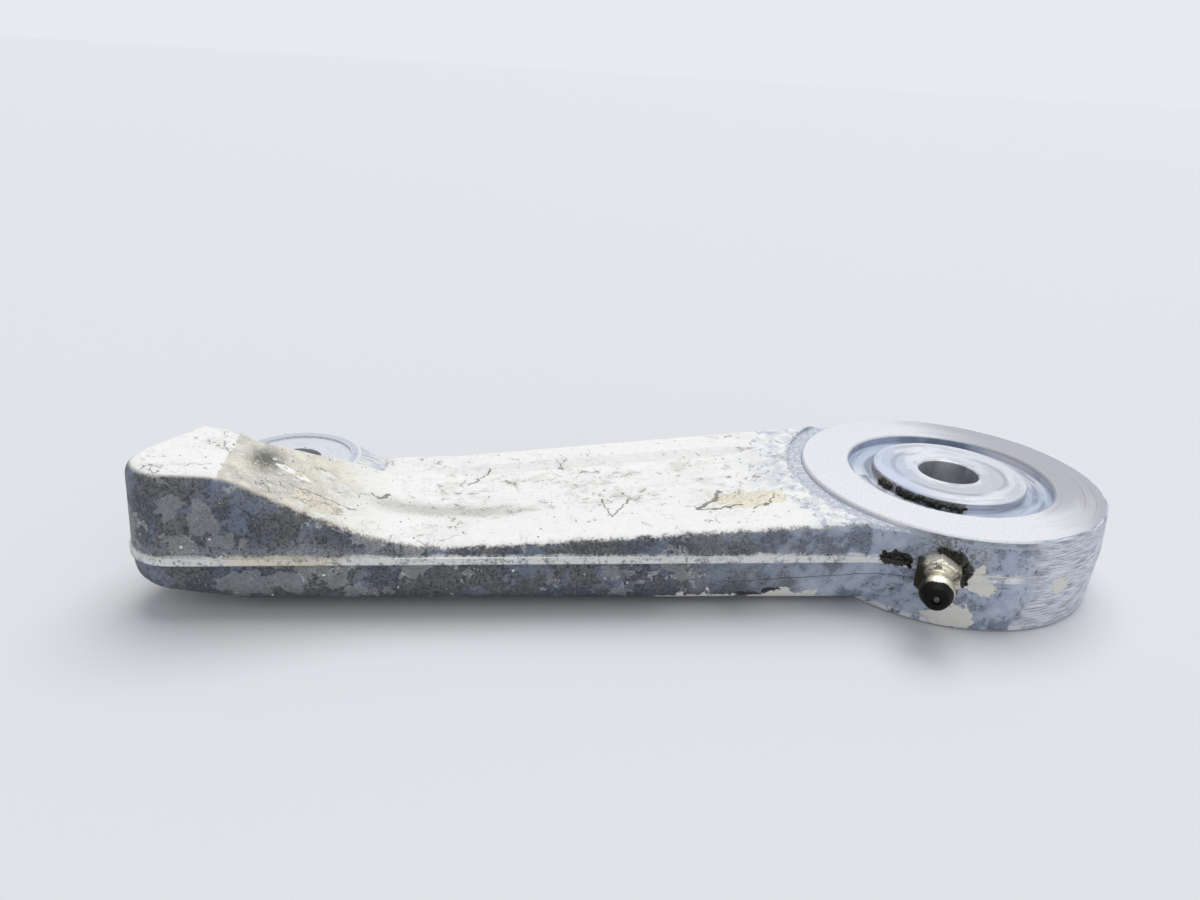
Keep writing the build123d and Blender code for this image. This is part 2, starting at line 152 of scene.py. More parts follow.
class Graph(Nodes):
    """One material's node tree."""

    def __init__(self, name: str) -> None:
        """Starts an empty material.

        Args:
            name: The material's name.
        """
        self.material = bpy.data.materials.new(name)
        self.material.use_nodes = True
        super().__init__(self.material.node_tree)
        self.tree.nodes.clear()
        self._coordinates = self.node("ShaderNodeTexCoord")

    def place(self, kind: Place = Place.OBJECT) -> Socket:
        """The coordinate socket that textures follow."""
        return self._coordinates.outputs[kind.value]

    def millimetres(self) -> Socket:
        """Object coordinates in millimetres."""
        return self.vector("SCALE", self.place(), scale=1 / MM)

    def split(self, vector: Socket) -> tuple[Scalar, Scalar, Scalar]:
        """The three parts of a vector as scalars."""
        made = self.node("ShaderNodeSeparateXYZ", {"Vector": vector})
        return tuple(Scalar(self, made.outputs[axis]) for axis in "XYZ")

    def join(self, x: Number, y: Number, z: Number = 0.0) -> Socket:
        """A vector made from scalars or numbers."""
        return self.out("ShaderNodeCombineXYZ", {"X": x, "Y": y, "Z": z})

    def noise(self, vector: Socket, scale: float, detail: float = 3.0, rough: float = 0.5,
              warp: float = 0.0) -> Scalar:
        """Soft random values between 0 and 1.

        Args:
            vector: Coordinates in millimetres.
            scale: Features per millimetre.
            detail: How many finer layers are added.
            rough: How strong the finer layers are.
            warp: How much the pattern is bent.

        Returns:
            The noise value.
        """
        inputs = {"Vector": vector, "Scale": scale, "Detail": detail, "Roughness": rough, "Distortion": warp}
        return Scalar(self, self.out("ShaderNodeTexNoise", inputs, "Fac"))

    def cracks(self, vector: Socket, scale: float) -> Scalar:
        """Distance to the nearest border between the cells of a random pattern."""
        inputs = {"Vector": vector, "Scale": scale}
        return Scalar(self, self.out("ShaderNodeTexVoronoi", inputs, "Distance", feature="DISTANCE_TO_EDGE"))

    def distance(self, vector: Socket, centre: Triple, size: Triple = (1.0, 1.0, 1.0)) -> Scalar:
        """Distance from a centre, counted in half sizes along each axis.

        Args:
            vector: Coordinates in millimetres.
            centre: The point that is measured from.
            size: Half sizes, 1 mm each for a plain distance.

        Returns:
            The distance, 1 on the rim of the ellipsoid that the half sizes give.
        """
        part = self.vector("DIVIDE", self.vector("SUBTRACT", vector, centre), size)
        return Scalar(self, self.vector("LENGTH", part))

    def bent(self, vector: Socket, scale: float, reach: float) -> Socket:
        """Coordinates pushed about by noise, so that what follows them looks torn.

        Args:
            vector: Coordinates in millimetres.
            scale: Features per millimetre.
            reach: How far the coordinates move, in millimetres.

        Returns:
            The bent coordinates.
        """
        move = self.push({"Vector": vector, "Scale": scale, "Detail": 2.0}, reach)
        return self.vector("ADD", vector, move)

    def to_segment(self, vector: Socket, start: Triple, end: Triple) -> Scalar:
        """Distance to a straight line between two points.

        Args:
            vector: Coordinates in millimetres.
            start: One end of the line.
            end: Its other end.

        Returns:
            The distance in millimetres.
        """
        span = Vector(end) - Vector(start)
        off = self.vector("SUBTRACT", vector, start)
        reach = Scalar(self, self.vector("DOT_PRODUCT", off, tuple(span / span.length_squared))).clamped()
        return Scalar(self, self.vector("DISTANCE", off, self.vector("SCALE", tuple(span), scale=reach)))

    def mix(self, amount: Number, low: Paint, high: Paint) -> Socket:
        """One colour laid over another, all of the first at 0 and all of the second at 1."""
        return self.out("ShaderNodeMix", {0: amount, 6: low, 7: high}, 2, data_type="RGBA")

    def finish(self, colour: Paint, metallic: Number, roughness: Number,
               height: Optional[Scalar] = None, depth: float = 1.0, specular: float = 0.5) -> Material:
        """Joins the surface's values into one shader.

        Args:
            colour: Base colour.
            metallic: Metallic value.
            roughness: Roughness value.
            height: Height for the bump, in millimetres, if there is one.
            depth: How strongly the bump counts.
            specular: The shader's specular level, the same all over.

        Returns:
            The finished material.
        """
        inputs = {"Base Color": colour, "Metallic": metallic, "Roughness": roughness,
                  "Specular IOR Level": specular}
        if height is not None:
            bump = {"Strength": depth, "Distance": MM, "Height": height}
            inputs["Normal"] = self.out("ShaderNodeBump", bump)
        self.node("ShaderNodeOutputMaterial", {"Surface": self.out("ShaderNodeBsdfPrincipled", inputs)})
        return self.material


class Scalar:
    """A shader value that can be used in sums as a number is."""

    def __init__(self, graph: Graph, socket: Socket) -> None:
        """Wraps a socket of a graph."""
        self.graph = graph
        self.socket = socket

    def _math(self, operation: str, *values: Number, clamp: bool = False) -> Scalar:
        """One Math node fed with this value and the others."""
        inputs = dict(enumerate((self, *values)))
        made = self.graph.out("ShaderNodeMath", inputs, operation=operation, use_clamp=clamp)
        return Scalar(self.graph, made)

    def __add__(self, other: Number) -> Scalar:
        """Sum."""
        return self._math("ADD", other)

    __radd__ = __add__

    def __sub__(self, other: Number) -> Scalar:
        """Difference."""
        return self._math("SUBTRACT", other)

    def __rsub__(self, other: Number) -> Scalar:
        """Difference from a number."""
        return (self * -1.0) + other

    def __mul__(self, other: Number) -> Scalar:
        """Product."""
        return self._math("MULTIPLY", other)

    __rmul__ = __mul__

    def __abs__(self) -> Scalar:
        """Size without sign."""
        return self._math("ABSOLUTE")

    def root(self) -> Scalar:
        """Square root."""
        return self._math("SQRT")

    def wave(self) -> Scalar:
        """Sine."""
        return self._math("SINE")

    def angle(self, other: Number) -> Scalar:
        """The angle whose tangent is this over the other."""
        return self._math("ARCTAN2", other)

    def at_most(self, other: Number) -> Scalar:
        """The smaller of two values."""
        return self._math("MINIMUM", other)

    def at_least(self, other: Number) -> Scalar:
        """The larger of two values."""
        return self._math("MAXIMUM", other)

    def clamped(self) -> Scalar:
        """Held between 0 and 1."""
        return self._math("ADD", 0.0, clamp=True)

    def rises(self, start: float, end: float) -> Scalar:
        """0 before start and 1 past end, with a smooth step between, or the reverse if end is lower.

        Args:
            start: Where the step begins.
            end: Where it ends.

        Returns:
            The step as a value from 0 to 1.
        """
        low, high = (0.0, 1.0) if start < end else (1.0, 0.0)
        inputs = {"Value": self, "From Min": min(start, end), "From Max": max(start, end),
                  "To Min": low, "To Max": high}
        made = self.graph.out("ShaderNodeMapRange", inputs, interpolation_type="SMOOTHSTEP")
        return Scalar(self.graph, made)

    def rim(self) -> Scalar:
        """1 halfway up a mask's own edge and 0 where the mask is plain."""
        return (self * (1.0 - self) * 4.0).clamped()


Number = Union[Scalar, float]
Paint = Union[Triple, Socket]


@dataclass(frozen=True)
class Spot:
    """One stain, chip or lump, as an ellipsoid that the bent coordinates make ragged."""

    centre: Triple
    size: Triple

    def mask(self, graph: Graph, place: Socket, soft: float = 0.06) -> Scalar:
        """1 inside the spot and 0 outside it.

        Args:
            graph: The material's graph.
            place: Bent coordinates in millimetres.
            soft: Half the width of the rim.

        Returns:
            The spot's mask.
        """
        return graph.distance(place, self.centre, self.size).rises(1.0 + soft, 1.0 - soft)


@dataclass(frozen=True)
class Stroke:
    """A crack or a scratch along a broken line."""

    points: tuple[Pair, ...]
    width: float

    def mask(self, graph: Graph, place: Socket, soft: float = 0.3) -> Scalar:
        """1 on the line and 0 beside it, seen from above.

        Args:
            graph: The material's graph.
            place: Bent coordinates in millimetres, with a height of 0.
            soft: How much of the width fades.

        Returns:
            The line's mask.
        """
        stops = [(*point, 0.0) for point in self.points]
        near, *others = (graph.to_segment(place, *ends) for ends in zip(stops, stops[1:]))
        for other in others:
            near = near.at_most(other)
        return near.rises(self.width * (1.0 + soft), self.width * (1.0 - soft))


@dataclass(frozen=True)
class LinkSizes:
    """Sizes of the forging that its finish follows."""

    boss_radius: float = 31.75
    boss_top: float = 8.0
    boss_bottom: float = -12.0
    counterbore_radius: float = 21.6
    runout_radius: float = 35.05
    runout_top: float = 7.0
    link_centres: float = 143.0
    lug_radius: float = 13.4
    lug_face_radius: float = 11.2
    lug_skirt_radius: float = 18.9
    lug_top: float = 3.6
    flash_half: float = 0.7
    ridge_top: float = 0.9
    arm_skew: float = 0.164
    channel_across: float = 7.3
    crown_line_x: float = -150.0
    crown_line_slope: float = 0.15
    crease_x: float = -46.8
    crease_z: float = -4.8
    crease_slope: float = 0.06


@dataclass(frozen=True)
class Zones:
    """Where each look fades in on the link: none of it at the first value, all of it at the second."""

    boss_tone_x: Pair = (-66.0, -14.0)
    flakes_x: Pair = (-46.0, -60.0)
    cloud_x: Pair = (-104.0, -116.0)
    cloud_top_z: Pair = (4.6, 1.2)
    cloud_foot_z: Pair = (0.0, 0.5)
    ridge_highlight_x: Pair = (6.0, 3.0)
    beige_ridge_start_x: Pair = (-122.0, -127.0)
    beige_ridge_end_x: Pair = (-146.0, -140.0)
    shade_x: Pair = (-36.0, -60.0)
    shade_z: Pair = (-3.5, -11.0)
    low_edge_z: Pair = (-10.2, -10.9)
    ramp_along: Pair = (116.0, 131.0)
    ramp_white_along: Pair = (140.0, 118.0)
    dirt_band_front: Pair = (-8.2, -4.2)
    dirt_band_back: Pair = (2.3, -2.2)
    dirt_start_along: Pair = (88.0, 104.0)
    dirt_end_along: Pair = (128.0, 120.0)
    smears_across: Pair = (13.0, 8.0)
    stripes_across: Pair = (12.0, 9.0)
    lilac_apex: Pair = (46.0, 37.0)
    chipped_apex: Pair = (62.0, 38.0)
    crisp_edge_x: Pair = (-128.0, -140.0)
    channel_wall: Pair = (12.5, 11.5)
    channel_start_along: Pair = (40.0, 44.0)
    channel_end_along: Pair = (126.0, 122.0)
    ground_x: Pair = (3.0, 11.0)
    dark_reflection_x: Pair = (0.0, 24.0)
    brown_arc_x: Pair = (10.0, 22.0)
    bare_step_x: Pair = (-16.0, -18.0)
    spot_wall_z: Pair = (2.0, 2.8)
    low_patches_x: Pair = (-30.0, -36.0)
    crease_start_x: Pair = (-56.0, -44.0)
    crease_end_x: Pair = (4.0, 1.0)


@dataclass
class Fields:
    """Values over the forging's surface that the parts of its finish share."""

    graph: Graph
    sizes: LinkSizes

    def __post_init__(self) -> None:
        """Makes the coordinates, the distances and the noises once."""
        g, s = self.graph, self.sizes
        self.here = g.millimetres()
        self.x, self.y, self.z = g.split(self.here)
        self.up = g.split(g.place(Place.NORMAL))[2]
        self.apex = (self.x * self.x + self.y * self.y).root()
        self.around = self.y.angle(self.x)
        self.lug = g.distance(g.join(self.x, self.y), (-s.link_centres, 0.0, 0.0))
        skew = atan2(s.arm_skew, 1.0)
        self.along = self.x * -cos(skew) + self.y * -sin(skew)
        self.across = self.y * cos(skew) + self.x * -sin(skew)
        self.broad = g.noise(self.here, 0.045)
        self.patch = g.noise(self.here, 0.13, 4.0, 0.55, 0.7)
        self.medium = g.noise(self.here, 0.38, 6.0, 0.62)
        self.fine = g.noise(self.here, 1.5, 5.0, 0.65)
        self.grit = g.noise(self.here, 4.2, 3.0, 0.6)
        self.drift = self.blend(patch=0.5, medium=0.5)
        self.gritty = self.blend(fine=0.5, grit=0.5)
        self.crumbly = self.blend(fine=0.6, grit=0.4)
        self.torn = g.bent(g.bent(self.here, 0.5, 2.6), 1.9, 0.8)
        self.ripped = g.bent(g.bent(self.here, 0.30, 6.5), 1.1, 2.2)
        self.plan = g.vector("MULTIPLY", self.torn, (1.0, 1.0, 0.0))
        self.inside = self.apex.rises(s.boss_radius + 0.15, s.boss_radius)
        self.face = self.inside * self.z.rises(s.boss_top - 0.6, s.boss_top - 0.4)

    def blend(self, **weights: float) -> Scalar:
        """The noises that are named, added up by their weights."""
        first, *others = (getattr(self, name) * weight for name, weight in weights.items())
        return sum(others, first)

    def stray(self, **reaches: float) -> Scalar:
        """A ragged offset round 0 from the noises that are named, each times its reach."""
        first, *others = ((getattr(self, name) - NOISE_MIDDLE) * reach for name, reach in reaches.items())
        return sum(others, first)


@dataclass(frozen=True)
class ForgingFinish:
    """Worn white paint over aluminium, with grime on the sides."""

    sizes: LinkSizes = field(default_factory=LinkSizes)
    zones: Zones = field(default_factory=Zones)
    white: Triple = (0.93, 0.925, 0.90)
    chip_white: Triple = (0.93, 0.93, 0.92)
    channel_dirt: Triple = (0.50, 0.50, 0.44)
    ramp_beige: Triple = (0.64, 0.60, 0.51)
    ramp_grey: Triple = (0.46, 0.45, 0.41)
    ramp_cream: Triple = (0.86, 0.81, 0.67)
    ramp_smudge: Triple = (0.12, 0.12, 0.095)
    hollow_beige: Triple = (0.88, 0.81, 0.62)
    crust: Triple = (0.42, 0.37, 0.29)
    speck: Triple = (0.13, 0.125, 0.11)
    side_dark: Triple = (0.022, 0.025, 0.033)
    side_mid: Triple = (0.135, 0.160, 0.215)
    side_brown: Triple = (0.215, 0.21, 0.205)
    side_blue: Triple = (0.21, 0.255, 0.35)
    side_cloud: Triple = (0.36, 0.37, 0.40)
    side_boss: Triple = (0.40, 0.46, 0.58)
    # Pale colour of the painted highlight on the ridge, also used for the worn bottom edge and the lip of
    # the lug; ridge_beige is that highlight over beige paint.
    ridge_light: Triple = (0.80, 0.80, 0.79)
    ridge_beige: Triple = (0.80, 0.73, 0.60)
    old_paint: Triple = (0.72, 0.70, 0.66)
    face_metal: Triple = (0.72, 0.72, 0.745)
    # Dull grit tone of the machined face, also its right side painted darker as a dim reflection.
    face_dull_and_dark_reflection: Triple = (0.39, 0.39, 0.43)
    cut_metal: Triple = (0.46, 0.51, 0.62)
    cut_shadow: Triple = (0.24, 0.28, 0.36)
    ring_blue: Triple = (0.40, 0.45, 0.56)
    ground_light: Triple = (0.72, 0.75, 0.83)
    ground_shadow: Triple = (0.24, 0.27, 0.34)
    lilac: Triple = (0.60, 0.61, 0.69)
    lug_face: Triple = (0.70, 0.71, 0.75)
    lug_ring: Triple = (0.52, 0.56, 0.63)
    lug_skirt: Triple = (0.46, 0.50, 0.57)
    brown: Triple = (0.30, 0.22, 0.15)
    grease: Triple = (0.010, 0.009, 0.008)
    old_paint_spots: tuple[Spot, ...] = (
        Spot((-3.4, -32.0, -1.6), (3.4, 2.4, 2.4)),
        Spot((-7.4, -31.0, -9.4), (4.4, 3.0, 2.3)),
        Spot((14.0, -29.0, -1.8), (2.4, 3.0, 1.4)),
        Spot((-57.0, -30.0, -9.3), (9.0, 4.0, 1.3)),
        Spot((-39.0, -28.0, -9.6), (9.5, 4.0, 2.2)),
    )
    grease_spots: tuple[Spot, ...] = (
        Spot((-18.4, -27.4, 0.8), (3.0, 2.4, 1.5)),
        Spot((-9.6, -31.2, 3.4), (2.8, 2.4, 1.7)),
        Spot((-6.6, -31.6, 0.8), (1.3, 2.4, 3.0)),
        Spot((-46.5, -28.5, -8.0), (2.0, 3.0, 0.8)),
        Spot((-42.5, -28.5, -7.2), (1.6, 3.0, 0.6)),
    )
    fitting_halo: Spot = Spot((-9.0, -31.0, 4.4), (6.5, 5.0, 4.6))
    smudge: Spot = Spot((-140.6, -25.4, 13.6), (2.6, 4.8, 3.0))
    smudge_side: Spot = Spot((-132.0, -22.0, 9.5), (9.0, 5.0, 3.0))
    hollow: Spot = Spot((-46.2, -14.6, 6.2), (8.4, 5.2, 3.4))
    hollow_stain: Spot = Spot((-51.0, -15.0, 5.4), (7.0, 6.5, 3.0))
    white_chips: tuple[Spot, ...] = (
        Spot((-136.8, -25.0, 11.8), (2.4, 1.2, 1.6)),
        Spot((-133.2, -25.8, 10.3), (2.0, 0.7, 1.0)),
    )
    rim_flakes: tuple[Spot, ...] = (
        Spot((-131.0, -32.6, 9.8), (3.2, 2.0, 1.9)),
        Spot((-126.6, -32.2, 7.9), (3.0, 1.9, 1.9)),
        Spot((-134.9, -24.4, 9.9), (1.8, 1.3, 1.5)),
    )
    block_flakes: tuple[Spot, ...] = (
        Spot((-146.4, -40.6, 8.6), (2.4, 3.0, 3.8)),
        Spot((-152.4, -41.2, 10.6), (2.4, 3.0, 3.0)),
        Spot((-143.6, -40.3, 4.4), (2.8, 3.0, 1.6)),
        Spot((-138.0, -39.5, -4.5), (10.0, 3.0, 2.6)),
    )
    cracks: tuple[Stroke, ...] = (
        Stroke(((-122.1, -19.9), (-120.5, -21.5), (-119.1, -18.2)), 0.24),
        Stroke(((-104.9, -6.4), (-100.9, -0.1)), 0.17),
        Stroke(((-76.1, -13.4), (-74.6, -23.8), (-72.6, -20.8), (-70.3, -12.5)), 0.14),
        Stroke(((-57.0, -20.3), (-53.1, -15.4), (-51.5, -9.8)), 0.45),
        Stroke(((-56.4, -20.8), (-48.0, -18.6)), 0.24),
        Stroke(((-135.0, -30.0), (-128.0, -29.0), (-123.0, -29.4)), 0.13),
        Stroke(((-46.0, -20.4), (-42.5, -17.5), (-40.5, -13.0)), 0.16),
    )

    def _any(self, f: Fields, marks: tuple[Union[Spot, Stroke], ...], soft: float = 0.06,
             place: Optional[Socket] = None) -> Scalar:
        """The masks of several marks laid together.

        Args:
            f: The shared fields.
            marks: The spots or strokes.
            soft: Half the width of their rims.
            place: Bent coordinates, the shared torn ones if none are given.

        Returns:
            1 inside any mark.
        """
        mask, *others = (mark.mask(f.graph, place or f.torn, soft) for mark in marks)
        for other in others:
            mask = mask.at_least(other)
        return mask

    def _boss_side(self, f: Fields, mottle: Scalar, smoke: Scalar) -> Socket:
        """The paler, bluer tone of the sides near the boss, with lilac patches of painted sheen.

        Args:
            f: The shared fields.
            mottle: The speckle of the sides.
            smoke: The mask of the dark clouds.

        Returns:
            The colour.
        """
        mix = f.graph.mix
        tone = mix(f.blend(medium=0.4, fine=0.6).rises(0.34, 0.45), self.side_dark, self.side_boss)
        # Painted sheen: lilac patches laid over the bare side.
        tone = mix(f.blend(medium=0.6, patch=0.4).rises(0.50, 0.62) * 0.45, tone, self.lilac)
        return mix(smoke * (0.25 + mottle.rises(0.44, 0.56) * 0.5), tone, self.side_dark)

    def _sides(self, f: Fields) -> tuple[Socket, Scalar, Scalar]:
        """Grimy forged sides with a painted highlight along the ridge of the parting plane.

        Args:
            f: The shared fields.

        Returns:
            The colour, the flakes that stand up and the pits.
        """
        g, s, w = f.graph, self.sizes, self.zones
        mottle = f.blend(fine=0.45, grit=0.35, medium=0.20)
        side = g.mix(mottle.rises(0.43, 0.58), self.side_dark, self.side_mid)
        brown = g.mix(mottle.rises(0.42, 0.60), self.side_dark, self.side_brown)
        zone = g.noise(g.bent(f.here, 0.3, 5.0), 0.075)
        side = g.mix(zone.rises(0.47, 0.52) * 0.8, side, brown)
        blue = (g.noise(g.bent(f.here, 0.4, 3.0), 0.16, 3.0, 0.55) + f.stray(fine=0.10)).rises(0.53, 0.60)
        side = g.mix(blue * (0.25 + mottle.rises(0.42, 0.58) * 0.45), side, self.side_blue)
        toward_boss = (f.x + f.stray(patch=40.0)).rises(*w.boss_tone_x)
        smoke = f.drift.rises(0.50, 0.43)
        side = g.mix(toward_boss * 0.92, side, self._boss_side(f, mottle, smoke))

        flaked = g.noise(g.bent(f.here, 0.35, 4.0), 0.12, 5.0, 0.60) + f.stray(fine=0.05)
        far = f.x.rises(*w.flakes_x)
        flake = (flaked.rises(0.585, 0.592) * far).at_least(self._any(f, self.block_flakes, 0.03, f.ripped))
        rim = flaked.rises(0.572, 0.585) * flaked.rises(0.600, 0.592) * far
        flake_tone = g.mix(mottle.rises(0.40, 0.60), self.side_brown, self.side_cloud)
        side = g.mix(flake * 0.62, side, flake_tone)
        # Old paint at the rims of the flakes, laid on light as a painted highlight of their edges.
        side = g.mix(rim * f.medium.rises(0.47, 0.55) * 0.55, side, self.old_paint)
        cloud = (f.z + f.stray(medium=6.0)).rises(*w.cloud_top_z) * f.z.rises(*w.cloud_foot_z)
        cloud = cloud * f.x.rises(*w.cloud_x) * mottle.rises(0.42, 0.54)
        side = g.mix(cloud * 0.6, side, self.side_cloud)
        pits = f.gritty.rises(0.555, 0.62) * (1.0 - toward_boss * (1.0 - smoke) * 0.8)
        side = g.mix(pits * 0.85, side, self.side_dark)
        crumbs = f.blend(grit=0.6, medium=0.4).rises(0.405, 0.365)
        side = g.mix(crumbs * 0.45, side, self.old_paint)

        # Painted highlight: the ridge along the parting plane is painted pale, and beige where its beige
        # paint remains; worn only breaks the highlight up by noise.
        beige = f.x.rises(*w.beige_ridge_start_x) * f.x.rises(*w.beige_ridge_end_x)
        ridge_highlight = (f.z - (s.ridge_top + f.stray(medium=1.6, fine=1.2))).rises(0.5, -0.4)
        ridge_highlight = ridge_highlight * f.z.rises(-s.flash_half - 0.1, -s.flash_half + 0.25) * f.x.rises(*w.ridge_highlight_x)
        worn = f.blend(fine=0.5, medium=0.5).rises(0.40, 0.52) * 0.7 + 0.3
        side = g.mix(ridge_highlight * worn * 0.95, side, g.mix(beige, self.ridge_light, self.ridge_beige))
        side = g.mix(f.z.rises(*w.shade_z) * f.x.rises(*w.shade_x) * 0.5, side, self.side_dark)
        low = (f.z + f.stray(medium=1.6)).rises(*w.low_edge_z) * f.patch.rises(0.45, 0.50)
        return g.mix(low * f.up.rises(-0.9, -0.6) * 0.75, side, self.ridge_light), flake, pits

    def _ramp(self, f: Fields, top: Socket) -> Socket:
        """The beige ramp behind the block, with its smudge, chips and crust.

        Args:
            f: The shared fields.
            top: The colour of the paint on top.

        Returns:
            The colour with the ramp laid over it.
        """
        g, s, w = f.graph, self.sizes, self.zones
        line = f.x + f.y * s.crown_line_slope + f.stray(fine=1.2, medium=0.8)
        crown = line.rises(s.crown_line_x - 0.2, s.crown_line_x + 0.2)
        ramp = crown * (f.along + f.stray(medium=16.0)).rises(*w.ramp_along)
        grain = f.blend(fine=0.5, grit=0.3, medium=0.2)
        tone = g.mix(grain.rises(0.42, 0.60), self.ramp_cream, self.ramp_beige)
        tone = g.mix(f.drift.rises(0.42, 0.56) * 0.7, tone, self.ramp_grey)
        white = f.blend(medium=0.6, fine=0.4) + f.along.rises(*w.ramp_white_along) * 0.12
        tone = g.mix(white.rises(0.53, 0.60) * 0.75, tone, self.white)
        top = g.mix(ramp * 0.92, top, tone)
        top = g.mix(self.smudge.mask(g, f.torn, 0.7) * grain.rises(0.30, 0.52), top, self.ramp_smudge)
        beside = self.smudge_side.mask(g, f.torn, 0.6) * grain.rises(0.52, 0.42)
        top = g.mix(beside * 0.65, top, self.ramp_cream)
        crusty = g.mix(grain.rises(0.47, 0.53), self.ramp_cream, self.crust)
        top = g.mix(self._any(f, self.rim_flakes, 0.05) * 0.9, top, crusty)
        return g.mix(self._any(f, self.white_chips), top, self.chip_white)

    def _top(self, f: Fields) -> tuple[Socket, Scalar]:
        """White paint on top, with dirt in the channel, cracks and the ramp.

        Args:
            f: The shared fields.

        Returns:
            The colour and the mask of the cracks.
        """
        g, w = f.graph, self.zones
        top = g.mix(f.blend(broad=0.5, patch=0.5).rises(0.50, 0.66) * 0.14, self.white, self.channel_dirt)
        band = (f.across + f.stray(medium=5.0)).rises(*w.dirt_band_back) * f.across.rises(*w.dirt_band_front)
        band = band * (f.along + f.stray(patch=20.0)).rises(*w.dirt_start_along)
        top = g.mix(band * f.along.rises(*w.dirt_end_along) * (0.30 + f.fine * 0.9), top, self.channel_dirt)
        channel = abs(f.across - self.sizes.channel_across)
        smears = f.drift.rises(0.52, 0.60) * channel.rises(*w.smears_across)
        top = g.mix(smears * 0.30, top, self.channel_dirt)
        stripes = g.noise(g.join(f.along * 0.05, f.across * 1.1), 1.0).rises(0.55, 0.68)
        top = g.mix(stripes * channel.rises(*w.stripes_across) * 0.18, top, self.channel_dirt)
        top = self._ramp(f, top)

        crumbly = g.mix(f.crumbly.rises(0.52, 0.62), self.hollow_beige, self.crust)
        top = g.mix(self.hollow.mask(g, f.ripped, 0.05) * 0.9, top, crumbly)
        stain = self.hollow_stain.mask(g, f.torn, 0.6) * f.fine.rises(0.46, 0.58)
        top = g.mix(stain * 0.5, top, self.channel_dirt)
        web = g.cracks(g.bent(g.join(f.x, f.y * 1.2, f.z), 0.4, 5.0), 0.13).rises(0.020, 0.004)
        web = web * f.blend(patch=0.6, medium=0.4).rises(0.535, 0.565)
        lines = (web * 0.8).at_least(self._any(f, self.cracks, 0.35, f.plan))
        top = g.mix(lines * 0.85, top, self.speck)
        specked = (f.blend(grit=0.45, fine=0.55) + f.drift.rises(0.46, 0.60) * 0.035).rises(0.622, 0.672)
        top = g.mix(specked * 0.8, top, self.crust)
        near_boss = (f.apex + f.stray(patch=16.0)).rises(*w.lilac_apex) * f.medium.rises(0.40, 0.56)
        top = g.mix(near_boss * 0.7, top, self.lilac)
        chips = (g.noise(f.torn, 0.5, 3.0, 0.6) + f.apex.rises(*w.chipped_apex) * 0.12).rises(0.700, 0.712)
        return g.mix(chips * 0.75, top, self.ring_blue), lines

    def _skin_edge(self, f: Fields) -> Scalar:
        """1 where the white paint still holds, up to the torn shoulder of the front and back edges.

        Args:
            f: The shared fields.

        Returns:
            The mask of the paint.
        """
        w = self.zones
        tear = f.stray(fine=0.5, grit=0.4, medium=0.6) * (1.0 - f.x.rises(*w.crisp_edge_x) * 0.85)
        channel = abs(f.across - self.sizes.channel_across).rises(*w.channel_wall)
        channel = channel * f.along.rises(*w.channel_start_along) * f.along.rises(*w.channel_end_along)
        return (f.up + tear).rises(0.64, 0.84).at_least(channel * f.up.rises(0.1, 0.3))

    def _metal(self, f: Fields) -> tuple[Socket, Scalar, Scalar, Scalar]:
        """Machined faces, the counterbore and the ground side of the boss.

        Args:
            f: The shared fields.

        Returns:
            The colour, the mask of all bare metal, the mask of the ground side and its streaks.
        """
        g, s, w = f.graph, self.sizes, self.zones
        below = f.z.rises(s.boss_bottom + 0.3, s.boss_bottom + 0.2)
        bore = f.apex.rises(s.counterbore_radius + 1.0, s.counterbore_radius + 0.5)
        lug_pad = f.lug.rises(s.lug_radius, s.lug_radius - 0.5) * below
        ground = (f.x + f.stray(medium=12.0, fine=9.0)).rises(*w.ground_x)
        ground = ground * f.apex.rises(s.boss_radius - 0.6, s.boss_radius - 0.3)
        ground = ground * f.apex.rises(s.boss_radius + 1.2, s.boss_radius + 1.0)
        streaks = g.noise(g.join(f.around * 6.5, f.z * 3.6 + f.medium * 2.0), 1.0, 5.0, 0.62, 0.3)
        tone = g.mix(f.gritty.rises(0.46, 0.64) * 0.35, self.face_metal, self.face_dull_and_dark_reflection)
        # Painted shade: the face grows darker towards its right, standing in for a dimmer reflection there.
        sweep = g.noise(g.join(f.around * 0.9, f.apex * 0.30), 1.0) - NOISE_MIDDLE
        tone = g.mix((f.x + f.y * 0.3 + sweep * 22.0).rises(*w.dark_reflection_x), tone, self.face_dull_and_dark_reflection)
        arc = g.noise(g.join(f.around * 0.8, f.apex * 1.3, 1.0), 1.0).rises(0.57, 0.68)
        tone = g.mix(arc * f.x.rises(*w.brown_arc_x) * 0.5, tone, self.brown)
        # The counterbore's floor: painted shade under noise, and painted highlight arcs on two opposite
        # sides, standing in for its reflections.
        floor = g.noise(g.join(f.around * 1.1, f.apex * 0.5, 4.0), 1.0, 4.0, 0.55)
        cut = g.mix(floor.rises(0.40, 0.56), self.cut_shadow, self.cut_metal)
        arc_highlight = abs((f.around + 1.2).wave()).rises(0.75, 0.98)
        cut = g.mix(arc_highlight * floor.rises(0.35, 0.60) * 0.7, cut, self.face_metal)
        ground_tone = g.mix(streaks.rises(0.42, 0.64), self.ground_light, self.ground_shadow)
        metal = g.mix(bore * (1.0 - f.face), g.mix(ground, tone, ground_tone), cut)
        step = f.inside * f.apex.rises(s.boss_radius - 0.3, s.boss_radius - 0.1) * f.x.rises(*w.bare_step_x)
        step = step * f.z.rises(s.runout_top - 0.15, s.runout_top)
        bare = f.face.at_least(f.inside * below)
        for other in (bore, ground, lug_pad, step):
            bare = bare.at_least(other)
        return metal, bare, ground, streaks

